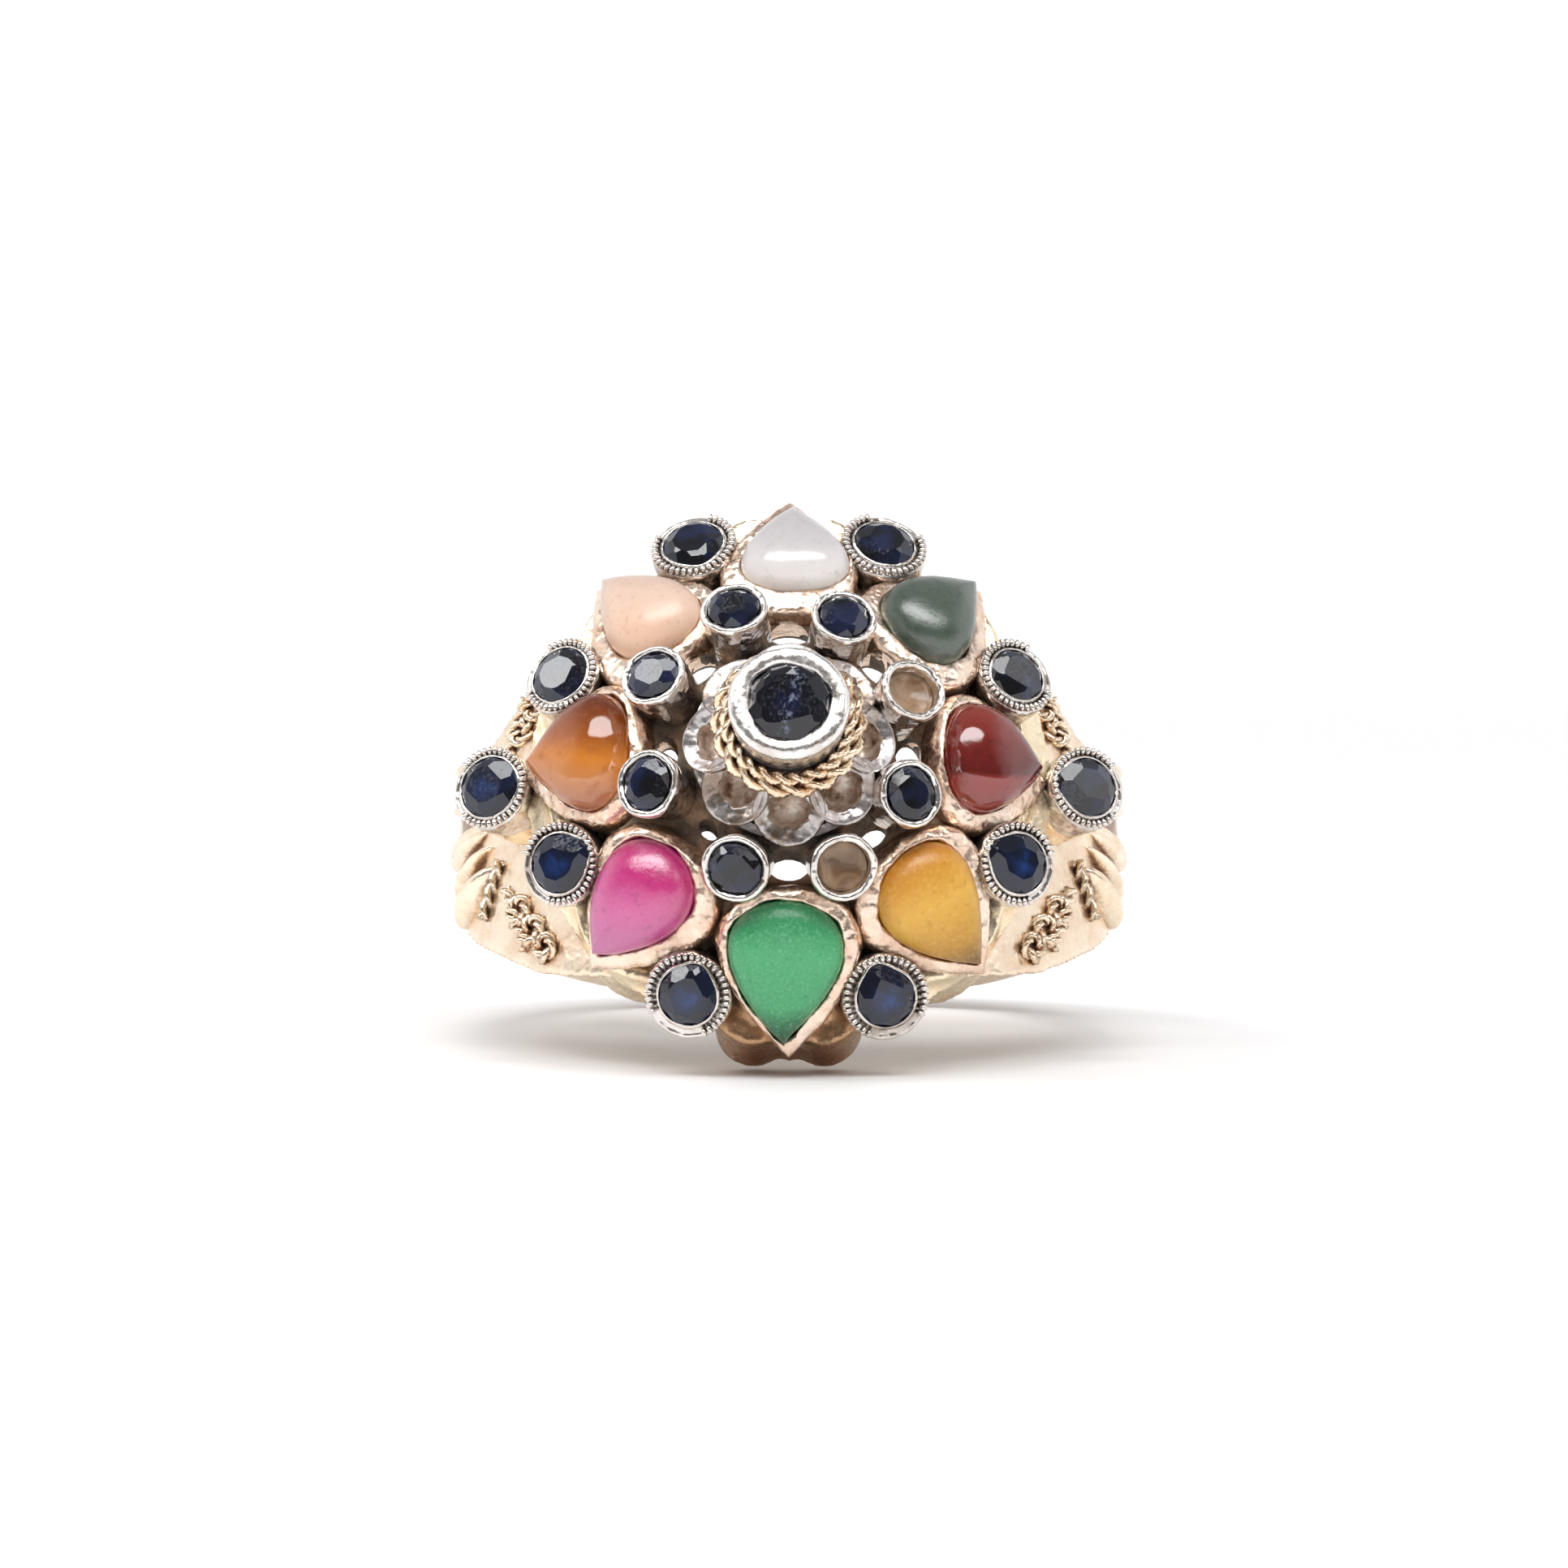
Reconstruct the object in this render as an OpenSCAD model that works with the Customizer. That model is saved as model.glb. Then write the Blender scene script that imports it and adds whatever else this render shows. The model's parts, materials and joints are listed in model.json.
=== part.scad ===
// Multi-stone cluster ring with a tall domed crown, lying on its side.
// The shapes are drawn about the finger hollow: X across the hand, Y along the
// finger, Z out through the crown. lay_down() turns them to how the ring rests,
// on the two front lobes below the crown and the edge of the hoop.

/* [Hoop] */
// Radius of the finger hollow
finger_r = 9; // [8.5:0.1:9.2]
// Outer radius of the hoop
hoop_r = 11.5; // [11.3:0.1:11.7]
// How far the hoop's outer circle sits towards the crown
hoop_shift = 1.5; // [1.3:0.1:1.6]
// How far the middle of a rib on the shoulders is sunk into the hoop
rib_sink = 0.1; // [0.05:0.05:0.15]
// Radius of the wire of the scrolls on the shoulders
wire_r = 0.2; // [0.16:0.02:0.24]
// Radius of one scroll, to the middle of its wire
scroll_r = 0.55; // [0.5:0.05:0.65]
// Length of the straight wire beside the scrolls
wire_len = 2.2; // [2:0.1:2.4]
// Slant of that wire to the hoop's round
wire_slant = 51; // [45:1:55]
// Place of the wires on the plain back half, as a share of that in front
back_share = 0.8; // [0.75:0.05:0.85]

/* [Crown] */
// Height of the crown's lower edge over the middle of the finger hollow
base_z = 9.3; // [9.2:0.05:9.5]
// Height of the top of the crown's wall
wall_z = 12.2; // [11.9:0.1:12.4]
// Radius of the crown's wall
wall_r = 8.2; // [8:0.1:8.4]
// Radius of the lobe of the wall under a diagonal pear
side_lobe_r = 2.9; // [2.7:0.1:3]
// Reach of the side lobes
side_lobe_reach = 9; // [8.9:0.1:9.2]
// Radius of a front or back lobe
lobe_r = 1.3; // [1.2:0.05:1.4]
// Reach of the front lobes that the ring rests on
lobe_reach = 9.4; // [9.3:0.1:9.7]
// Distance of those lobes from the middle
lobe_x = 1.2; // [1.1:0.05:1.25]
// Radius of the sloping shell at its foot
shell_foot_r = 9; // [8.8:0.1:9.1]
// Radius of the shell at its top
shell_top_r = 3.3; // [3.2:0.1:3.4]
// Height of the sloping part of the shell
shell_h = 4.1; // [4:0.1:4.3]
// Radius of the open back of the crown
hollow_r = 7.3; // [7.1:0.1:7.4]
// Radius of the open back at its top
hollow_top_r = 2.6; // [2.4:0.1:2.7]

/* [Collets] */
// Depth of a pear collet
pear_deep = 2.4; // [2.2:0.1:2.6]
// Depth of a round collet
round_deep = 3; // [2.8:0.1:3.2]
// Width of a round collet's foot over that of its rim
round_foot = 0.8; // [0.75:0.05:0.9]
// Depth of the seat for a stone
seat_deep = 1.1; // [1:0.05:1.15]
// Gap between a stone and its metal
stone_gap = 0.04; // [0.03:0.01:0.06]

/* [Stones] */
// Height of the cabochons' domes, as a share of their own heights
dome_share = 1; // [0.9:0.05:1.1]
// Table of a faceted stone, as a share of its width
table_share = 0.56; // [0.5:0.02:0.62]
// Depth of a faceted stone below its rim, as a share of its radius
pavilion = 0.8; // [0.7:0.05:0.8]

/* [Centre] */
// Height of the centre collet's rim
centre_z = 20.4; // [20.2:0.1:20.8]
// Radius of the centre collet
centre_r = 2.03; // [1.95:0.01:2.1]
// Height of the centre collet
centre_h = 2.3; // [2.2:0.05:2.4]
// Depth of the seat for the centre stone
centre_seat = 1.3; // [1.25:0.05:1.5]
// Radius of the centre stone
centre_stone_r = 1.45; // [1.35:0.05:1.5]
// Radius of the post below the centre collet
post_r = 1.7; // [1.6:0.05:1.8]
// Radius of the rope ring, to the middle of its wire
rope_ring_r = 2.3; // [2.2:0.05:2.35]
// Radius of the rope ring's wire
rope_r = 0.27; // [0.22:0.01:0.3]
// Reach of the petals' middles from the crown's axis
petal_reach = 2.6; // [2.5:0.05:2.7]
// Height of the petals' rims
petal_z = 16.6; // [16.5:0.05:16.8]
// Outward lean of the petals
petal_lean = 35; // [30:1:40]
// Outer radius of one petal
petal_r = 1.18; // [1.1:0.02:1.2]
// Width of a petal's rim
petal_rim = 0.26; // [0.22:0.02:0.3]

/* [Hidden] */
$fn = 48;
FINE = 96;
eps = 0.01;

// height, width of the hoop's front half, width of its back half
FLARE = [
    [-11.5, 1.2, 1.2],
    [-6, 1.4, 1.4],
    [0, 1.4, 1.4],
    [2, 1.45, 1.6],
    [5, 3.6, 2.9],
    [7, 4.7, 3.1],
    [8, 5.3, 3.8],
    [9.3, 6.1, 4.8],
    [12.5, 7.2, 6.8],
];

// Ribs that fan out over a shoulder: angle of the middle from the crown, place
// along the finger, length, slant to the hoop's round, radius
RIBS = [
    [73.5, 0.34, 4.2, 1, 0.26],
    [71, 1.05, 3.6, 10, 0.28],
    [68, 1.85, 3, 19, 0.36],
];

// angle from the crown, place along the finger
SCROLLS = [
    [52, 3.75],
    [47, 4.75],
];
WIRE_ANGLE = 61.6;
WIRE_ALONG = 2.35;

// name, turn, reach, height, lean, collet's length and width
PEARS = [
    ["cabochon_white", 90, 7.5, 13.6, 27, 5.42, 4.47],
    ["cabochon_grey_green", 46, 7.2, 13.5, 35, 5.52, 4.62],
    ["cabochon_red", 0, 6.9, 13.3, 43, 5.32, 4.67],
    ["cabochon_yellow", -46, 7.2, 13.5, 35, 5.62, 4.82],
    ["cabochon_green", -90, 7.35, 13.75, 27, 5.77, 4.67],
    ["cabochon_pink", -135, 7.15, 13.5, 35, 5.52, 4.62],
    ["cabochon_orange", 178, 7.05, 13.4, 43, 5.52, 4.82],
    ["cabochon_peach", 134, 7.2, 13.5, 35, 5.52, 4.62],
];
// Stone of each pear collet: length, width, its way off the collet's middle towards
// the tip and to the side, height of its dome, how square the dome is (less is
// squarer), colour
CABOCHONS = [
    [4, 3.7, 0.1, -0.18, 1.15, 0.62, "white"],
    [4.35, 3.35, -0.05, 0.07, 1.45, 0.6, "darkslategray"],
    [4.1, 3.85, -0.34, 0.08, 1.4, 0.66, "darkred"],
    [4.85, 3.5, -0.1, 0, 1.15, 0.5, "goldenrod"],
    [5, 3.8, -0.04, -0.14, 0.85, 0.36, "mediumseagreen"],
    [4.85, 3.35, -0.13, -0.16, 1.25, 0.6, "mediumvioletred"],
    [4.45, 3.95, -0.24, 0, 1.45, 0.62, "peru"],
    [4.6, 3.25, 0, -0.16, 1.3, 0.55, "burlywood"],
];

// name, turn, reach, height, lean, stone radius, collet radius, whether it holds its stone
ROUNDS = [
    ["sapphire_outer_1", 112, 8.67, 13.2, 30, 1.08, 1.5, true],
    ["sapphire_outer_2", 68, 8.67, 13.2, 30, 1.05, 1.5, true],
    ["sapphire_outer_3", 23.4, 8.42, 13.2, 30, 1, 1.4, true],
    ["sapphire_outer_4", 0, 10.17, 11.2, 28, 1.1, 1.45, true],
    ["sapphire_outer_5", -23.4, 8.42, 13.2, 30, 1.08, 1.45, true],
    ["sapphire_outer_6", -68, 8.67, 13.2, 30, 1.05, 1.5, true],
    ["sapphire_outer_7", -113, 8.67, 13.2, 30, 1.05, 1.5, true],
    ["sapphire_outer_8", -156.6, 8.42, 13.2, 30, 1.08, 1.45, true],
    ["sapphire_outer_9", 180, 10.17, 11.2, 28, 1.1, 1.45, true],
    ["sapphire_outer_10", 156.6, 8.42, 13.2, 30, 1.05, 1.4, true],
    ["sapphire_inner_1", 112, 4.97, 16.5, 25, 0.85, 1.15, true],
    ["sapphire_inner_2", 66.7, 4.7, 16.5, 25, 0.85, 1.15, true],
    ["empty_inner_right", 22.7, 4.54, 16.5, 25, 0.85, 1.15, false],
    ["sapphire_inner_3", -25.2, 4.51, 16.5, 25, 0.85, 1.15, true],
    ["empty_inner_front", -67.9, 4.88, 16.5, 25, 0.85, 1.15, false],
    ["sapphire_inner_4", -111.4, 4.89, 16.5, 25, 0.85, 1.15, true],
    ["sapphire_inner_5", -161.6, 4.99, 16.5, 25, 0.85, 1.15, true],
    ["sapphire_inner_6", 153.9, 5.09, 16.5, 25, 0.85, 1.15, true],
];

// Turns of the eight petals, and of the openings behind them
EIGHTHS = [0:45:315];
// reach, width, length and height of an opening in the shell
GAP_REACH = 4.35;
GAP_SIZE = [0.8, 1.1, 9];

SET_ROUNDS = [for (s = ROUNDS) if (s[7]) s];

back_z = hoop_shift - hoop_r;
back_half = lookup(back_z, [for (f = FLARE) [f[0], f[1]]]);
lie_lean = atan2(lobe_reach - back_half, base_z - back_z);
shell_z = wall_z - 1;
hollow_z = base_z - 1.5;
hollow_slope_z = base_z + 1.4;
hollow_slope_h = 3.9;
post_z = 14.3;
collar_z = 17.7;
collar_r = 2.35;
collar_h = 0.5;
petal_deep = 1.7;
petal_open = 0.9;

// Pear outline with its round end at -x and its tip at +x
PEAR_STEPS = 24;
// Half width of the plain outline at its widest, which the width is set by
PEAR_WIDEST = 0.75;
function pear_point(length, width, a) =
    [cos(a) * length / 2, sin(a) * sin(a / 2) / PEAR_WIDEST * width / 2];
function pear(length, width) =
    [for (i = [0:PEAR_STEPS - 1]) pear_point(length, width, 360 * i / PEAR_STEPS)];
function lift(points, size, off, z) = [for (p = points) [p[0] * size + off[0], p[1] * size + off[1], z]];

module lay_down() {
    rotate([90 - lie_lean, 0, 0])
        children();
}

// Stands a part on the crown: turned about the crown's axis, then leaning outwards
module on_crown(turn, reach, height, lean) {
    rotate([0, 0, turn])
        translate([reach, 0, height])
            rotate([0, lean, 0])
                children();
}

// Stands a part on the hoop's outer face, at an angle from the crown
module on_hoop(angle, along) {
    translate([0, 0, hoop_shift])
        rotate([0, angle, 0])
            translate([0, along, hoop_r])
                children();
}

module each_quarter() {
    for (sx = [0, 1], sy = [0, 1])
        mirror([sx, 0, 0])
            mirror([0, sy, 0])
                children();
}

module each_side() {
    for (sx = [0, 1])
        mirror([sx, 0, 0])
            children();
}

// Hoop with shoulders that widen to the crown
module hoop() {
    intersection() {
        translate([0, 0, hoop_shift])
            rotate([90, 0, 0])
                cylinder(r = hoop_r, h = 20, center = true, $fn = FINE);
        rotate([90, 0, 90])
            linear_extrude(2 * hoop_r + 2, center = true)
                polygon(concat(
                    [for (f = FLARE) [-f[1], f[0]]],
                    [for (i = [len(FLARE) - 1:-1:0]) [FLARE[i][2], FLARE[i][0]]]
                ));
    }
}

// Ribs on the outer side of a shoulder
module ribs() {
    for (r = RIBS)
        on_hoop(r[0], r[1])
            translate([0, 0, -rib_sink])
                rotate([0, 90, r[3]])
                    cylinder(r = r[4], h = r[2], center = true, $fn = 24);
}

// Wire scrolls and a straight wire on a shoulder, by the crown
module scrolls(share) {
    for (s = SCROLLS)
        on_hoop(s[0], s[1] * share)
            rotate_extrude($fn = 32)
                translate([scroll_r, 0])
                    circle(r = wire_r, $fn = 16);
    on_hoop(WIRE_ANGLE, WIRE_ALONG * share)
        rotate([0, 90, wire_slant])
            cylinder(r = wire_r, h = wire_len, center = true, $fn = 20);
}

// Wall under the crown, with a lobe under each diagonal pear and two at each end
module crown_wall() {
    translate([0, 0, base_z])
        linear_extrude(wall_z - base_z)
            union() {
                circle(r = wall_r, $fn = FINE);
                for (a = [45:90:315])
                    rotate(a)
                        translate([side_lobe_reach - side_lobe_r, 0])
                            circle(r = side_lobe_r);
                for (sx = [-1, 1], sy = [-1, 1])
                    translate([sx * lobe_x, sy * (lobe_reach - lobe_r)])
                        circle(r = lobe_r);
            }
}

// Sloping shell that the collets and the flower stand on
module crown_shell() {
    translate([0, 0, shell_z])
        cylinder(r1 = shell_foot_r, r2 = shell_top_r, h = shell_h, $fn = FINE);
}

// Open back of the crown
module crown_hollow() {
    translate([0, 0, hollow_z])
        cylinder(r = hollow_r, h = hollow_slope_z - hollow_z, $fn = FINE);
    translate([0, 0, hollow_slope_z - eps])
        cylinder(r1 = hollow_r, r2 = hollow_top_r, h = hollow_slope_h, $fn = FINE);
}

// Openings between the petals, the inner collets and the pears
module crown_gaps() {
    for (a = EIGHTHS)
        rotate([0, 0, a])
            translate([GAP_REACH, 0, shell_z + shell_h])
                cube(GAP_SIZE, center = true);
}

module pear_collet(s) {
    on_crown(s[1], s[2], s[3], s[4])
        translate([0, 0, -pear_deep])
            linear_extrude(pear_deep)
                polygon(pear(s[5], s[6]));
}

module pear_seat(s, stone) {
    on_crown(s[1], s[2], s[3], s[4])
        translate([stone[2], stone[3], -seat_deep])
            linear_extrude(seat_deep + 1)
                polygon(pear(stone[0] + 2 * stone_gap, stone[1] + 2 * stone_gap));
}

module round_collet(s) {
    on_crown(s[1], s[2], s[3], s[4])
        translate([0, 0, -round_deep])
            cylinder(r1 = s[6] * round_foot, r2 = s[6], h = round_deep, $fn = 40);
}

module round_seat(s) {
    on_crown(s[1], s[2], s[3], s[4])
        translate([0, 0, -seat_deep])
            cylinder(r = s[5] + stone_gap, h = seat_deep + 1, $fn = 40);
}

// Eight petals round the centre post, and the opening of each
module petals() {
    for (a = EIGHTHS)
        on_crown(a, petal_reach, petal_z, petal_lean)
            translate([0, 0, -petal_deep])
                cylinder(r = petal_r, h = petal_deep, $fn = 32);
}

module petal_openings() {
    for (a = EIGHTHS)
        on_crown(a, petal_reach, petal_z, petal_lean)
            translate([0, 0, -petal_open])
                cylinder(r = petal_r - petal_rim, h = petal_open + 1, $fn = 32);
}

// Post with its rope ring and the centre collet
module centre_post() {
    translate([0, 0, post_z])
        cylinder(r = post_r, h = centre_z - centre_h - post_z + eps);
    translate([0, 0, collar_z])
        cylinder(r = collar_r, h = collar_h);
    translate([0, 0, collar_z + collar_h])
        rotate_extrude($fn = FINE)
            translate([rope_ring_r, 0])
                circle(r = rope_r, $fn = 16);
    translate([0, 0, centre_z - centre_h])
        cylinder(r = centre_r, h = centre_h);
}

module mount() {
    color("tan")
        difference() {
            union() {
                hoop();
                each_quarter()
                    ribs();
                each_side() {
                    scrolls(back_share);
                    mirror([0, 1, 0])
                        scrolls(1);
                }
                crown_wall();
                crown_shell();
                for (s = PEARS)
                    pear_collet(s);
                for (s = ROUNDS)
                    round_collet(s);
                petals();
                centre_post();
            }
            rotate([90, 0, 0])
                cylinder(r = finger_r, h = 30, center = true, $fn = FINE);
            crown_hollow();
            crown_gaps();
            for (i = [0:len(PEARS) - 1])
                pear_seat(PEARS[i], CABOCHONS[i]);
            for (s = ROUNDS)
                round_seat(s);
            petal_openings();
            translate([0, 0, centre_z - centre_seat])
                cylinder(r = centre_stone_r + stone_gap, h = centre_seat + 1);
        }
}

// Domed stone on a pear outline: a straight foot, then rings that close to the top
FOOT_SHARE = 0.96;
DOME_ANGLES = [0, 22, 44, 62, 78];
module cabochon(s, stone) {
    n = PEAR_STEPS;
    outline = pear(stone[0], stone[1]);
    off = [stone[2], stone[3]];
    dome_h = stone[4] * dome_share;
    points = concat(
        lift(outline, FOOT_SHARE, off, stone_gap - seat_deep),
        [for (a = DOME_ANGLES) each lift(outline, pow(cos(a), stone[5]), off, dome_h * sin(a))],
        [[off[0], off[1], dome_h]]
    );
    top = len(points) - 1;
    color(stone[6])
        on_crown(s[1], s[2], s[3], s[4])
            polyhedron(points, concat(
                [[for (i = [0:n - 1]) i]],
                [for (k = [0:len(DOME_ANGLES) - 1], i = [0:n - 1])
                    [k * n + i, (k + 1) * n + i, (k + 1) * n + (i + 1) % n, k * n + (i + 1) % n]],
                [for (i = [0:n - 1]) [top - n + i, top, top - n + (i + 1) % n]]
            ));
}

// Round brilliant of radius r, its rim at the collet's rim, with 8-sided rings
// above and 16-sided rings below
function ring(r, z, n, first) =
    [for (i = [0:n - 1]) [r * cos(360 * i / n + first), r * sin(360 * i / n + first), z]];

module brilliant(r) {
    points = concat(
        ring(table_share * r, 0.34 * r, 8, 0),
        ring(0.8 * r, 0.2 * r, 8, 22.5),
        ring(r, 0.02 * r, 16, 0),
        ring(r, -0.06 * r, 16, 0),
        [[0, 0, -pavilion * r]]
    );
    polyhedron(points, concat(
        [[for (i = [7:-1:0]) i]],
        [for (i = [0:7]) [i, (i + 1) % 8, 8 + i]],
        [for (i = [0:7]) [(i + 1) % 8, 8 + (i + 1) % 8, 8 + i]],
        [for (i = [0:7]) [8 + i, 17 + 2 * i, 16 + 2 * i]],
        [for (i = [0:7]) [8 + i, 16 + (2 * i + 2) % 16, 17 + 2 * i]],
        [for (i = [0:7]) [8 + i, 8 + (i + 1) % 8, 16 + (2 * i + 2) % 16]],
        [for (i = [0:15]) [16 + i, 16 + (i + 1) % 16, 32 + (i + 1) % 16, 32 + i]],
        [for (i = [0:15]) [32 + i, 32 + (i + 1) % 16, 48]]
    ));
}

module sapphire(s) {
    color("midnightblue")
        on_crown(s[1], s[2], s[3], s[4])
            brilliant(s[5]);
}

module sapphire_centre() {
    color("midnightblue")
        translate([0, 0, centre_z])
            brilliant(centre_stone_r);
}

lay_down() mount();
lay_down() sapphire_centre();
for (i = [0:len(PEARS) - 1])
    lay_down() cabochon(PEARS[i], CABOCHONS[i]);
for (s = SET_ROUNDS)
    lay_down() sapphire(s);
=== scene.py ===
import json
import math
import random

import bpy
from mathutils import Matrix, Vector


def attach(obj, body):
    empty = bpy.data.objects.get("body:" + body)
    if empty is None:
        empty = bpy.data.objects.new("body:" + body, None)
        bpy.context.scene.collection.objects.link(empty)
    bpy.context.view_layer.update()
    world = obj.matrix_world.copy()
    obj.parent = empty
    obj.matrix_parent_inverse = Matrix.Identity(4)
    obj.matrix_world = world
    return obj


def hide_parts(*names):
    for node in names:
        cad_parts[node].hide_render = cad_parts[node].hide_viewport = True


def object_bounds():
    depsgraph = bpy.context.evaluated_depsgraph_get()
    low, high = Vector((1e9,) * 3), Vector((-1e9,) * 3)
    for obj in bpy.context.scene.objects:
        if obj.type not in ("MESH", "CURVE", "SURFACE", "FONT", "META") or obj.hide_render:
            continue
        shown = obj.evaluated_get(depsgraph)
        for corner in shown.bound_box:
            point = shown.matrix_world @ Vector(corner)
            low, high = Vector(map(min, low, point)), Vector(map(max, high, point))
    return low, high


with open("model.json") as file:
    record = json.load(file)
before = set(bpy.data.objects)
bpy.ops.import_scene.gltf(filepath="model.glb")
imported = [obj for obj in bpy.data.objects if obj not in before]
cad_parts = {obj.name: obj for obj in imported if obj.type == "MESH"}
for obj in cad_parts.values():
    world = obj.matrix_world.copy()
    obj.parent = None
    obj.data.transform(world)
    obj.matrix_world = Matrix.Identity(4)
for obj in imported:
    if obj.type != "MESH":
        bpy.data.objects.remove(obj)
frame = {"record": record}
cad_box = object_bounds()

# Camera
# The ring is drawn in millimetres about its finger hole: x across the hand, y along
# the finger, z out of the crown. RESTING lays it on its side, as the frame's finger
# hole lies, in metres. The photograph is taken from 5 degrees over the table.
finger_axis = Vector(frame["record"]["mounts"][0]["axis"])
RESTING = Matrix.Rotation(math.atan2(finger_axis.z, finger_axis.y), 4, "X") @ Matrix.Scale(0.001, 4)
CAMERA_RISE = math.radians(4.88)
CAMERA_AWAY = 0.32
CAMERA_LENS = 217.6
CROWN_HEIGHT = 13.2
AIM_LEFT = 0.000164
AIM_BELOW = 0.000493
toward_camera = Vector((0, -math.cos(CAMERA_RISE), math.sin(CAMERA_RISE)))
picture_up = Vector((0, math.sin(CAMERA_RISE), math.cos(CAMERA_RISE)))
aim = RESTING @ Vector((0, 0, CROWN_HEIGHT)) - Vector((AIM_LEFT, 0, 0)) - picture_up * AIM_BELOW
bpy.ops.object.camera_add(
    location=aim + toward_camera * CAMERA_AWAY,
    rotation=(math.pi / 2 - CAMERA_RISE, 0, 0),
)
camera = bpy.context.object
camera.data.lens = CAMERA_LENS
camera.data.sensor_width = 36
camera.data.clip_start = 0.01
camera.data.clip_end = 50
bpy.context.scene.camera = camera

# Table and light
# A white table that glows a little away from the ring, before a white background. A
# wide softbox stands over the front, small ones to the left, to the right and on top.
# The ceiling and the room behind the camera are dark.
WALL = (1.0, 1.0, 1.01, 1)
CEILING = (0.3, 0.3, 0.31, 1)
DARK_ROOM = (0.17, 0.16, 0.155, 1)
PAPER = (0.78, 0.78, 0.785, 1)
PAPER_GLOW = 0.75
TABLE_SIZE = 30
scene = bpy.context.scene
scene.view_settings.view_transform = "Standard"


def plug(node, sockets):
    """Gives each socket of a node its value or the output it takes."""
    for key, value in sockets.items():
        if isinstance(value, bpy.types.NodeSocket):
            node.id_data.links.new(value, node.inputs[key])
        else:
            node.inputs[key].default_value = value


def add_node(tree, kind, sockets=None, **settings):
    """Adds a node, with its settings and sockets."""
    node = tree.nodes.new("ShaderNode" + kind)
    for key, value in settings.items():
        setattr(node, key, value)
    plug(node, sockets or {})
    return node


def spread(tree, value, low, high, first=0.0, last=1.0, soft=False):
    """Takes a value that goes from low to high to one that goes from first to last."""
    ends = {"Value": value, "From Min": low, "From Max": high, "To Min": first, "To Max": last}
    curve = "SMOOTHSTEP" if soft else "LINEAR"
    return add_node(tree, "MapRange", ends, interpolation_type=curve).outputs["Result"]


def blend(tree, factor, first, second):
    """A colour between two colours."""
    return add_node(tree, "Mix", {"Factor": factor, 6: first, 7: second}, data_type="RGBA").outputs[2]


def maths(tree, operation, *values):
    """A sum with numbers."""
    return add_node(tree, "Math", dict(enumerate(values)), operation=operation).outputs[0]


def vector_maths(tree, operation, *values):
    """A sum with places, which gives a place, or a number for a length or a dot product."""
    node = add_node(tree, "VectorMath", dict(enumerate(values)), operation=operation)
    return node.outputs["Value" if operation in ("LENGTH", "DOT_PRODUCT") else "Vector"]


def new_material(name):
    """A material, with its nodes and its shader."""
    material = bpy.data.materials.new(name)
    material.use_nodes = True
    return material, material.node_tree, material.node_tree.nodes["Principled BSDF"]


def softbox(name, shape, side, rise, away, width, height, power):
    """A soft light aimed at the ring: side and rise are in degrees from the camera's side."""
    turn, lift = math.radians(side), math.radians(rise)
    out = Vector((math.sin(turn) * math.cos(lift), -math.cos(turn) * math.cos(lift), math.sin(lift)))
    bpy.ops.object.light_add(
        type="AREA",
        location=aim + out * away,
        rotation=out.to_track_quat("Z", "Y").to_euler(),
    )
    light = bpy.context.object
    light.name = name
    light.data.shape = shape
    light.data.size = width
    light.data.size_y = height
    light.data.energy = power
    return light


softbox("softbox_front", "ELLIPSE", 0, 56, 0.45, 0.6, 0.17, 1.9)
side_lights = [
    softbox("softbox_left", "RECTANGLE", -78, 45, 0.5, 0.14, 0.24, 0.75),
    softbox("softbox_right", "RECTANGLE", 70, 31, 0.5, 0.16, 0.3, 0.2),
    softbox("softbox_top", "RECTANGLE", -20, 84, 0.45, 0.18, 0.16, 0.5),
]

world = bpy.data.worlds.new("studio")
scene.world = world
world.use_nodes = True
sky = world.node_tree
facing = add_node(sky, "SeparateXYZ", {"Vector": add_node(sky, "TexCoord").outputs["Generated"]})
behind = spread(sky, facing.outputs["Y"], -0.5, 0.1, soft=True)
overhead = spread(sky, facing.outputs["Z"], 0.5, 0.85, soft=True)
room = blend(sky, behind, DARK_ROOM, blend(sky, overhead, WALL, CEILING))
plug(sky.nodes["Background"], {"Color": room})

bpy.ops.mesh.primitive_plane_add(size=TABLE_SIZE, location=(0, 0, cad_box[0].z))
table = bpy.context.object
table.name = "table"
paper, tree, shader = new_material("white_paper")
away = vector_maths(tree, "LENGTH", add_node(tree, "TexCoord").outputs["Object"])
glow = spread(tree, away, 0.03, 0.5, 0.0, PAPER_GLOW, soft=True)
plug(shader, {"Base Color": PAPER, "Roughness": 0.6})
plug(shader, {"Emission Color": (1, 1, 1, 1), "Emission Strength": glow})
table.data.materials.append(paper)

# Hoop and shoulders
# One band of gold, thin behind the finger and flared at the crown into two shoulders.
# It is cast and filed smooth, and open under the crown, which is soldered on top of it.
FINGER_R = 9
HOOP_R = 11.5
HOOP_SHIFT = 1.5
HOOP_TOP = 12.3
HOOP_SIDES = 160
HOOP_ROWS = 10
HOOP_VOXEL = 0.14
# height over the finger hole's middle, half width in front, half width behind
FLARE = [
    (-11.5, 1.2, 1.2),
    (-6, 1.4, 1.4),
    (0, 1.4, 1.4),
    (2, 1.45, 1.6),
    (5, 3.6, 2.9),
    (7, 4.7, 3.1),
    (8, 5.3, 3.8),
    (9.3, 6.1, 4.8),
    (12.5, 7.2, 6.8),
]
HOLLOW_R = 7.3
HOLLOW_TOP_R = 2.6
HOLLOW_Z = 7.8
HOLLOW_SLOPE_Z = 10.7
HOLLOW_SLOPE_H = 3.9
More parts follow.
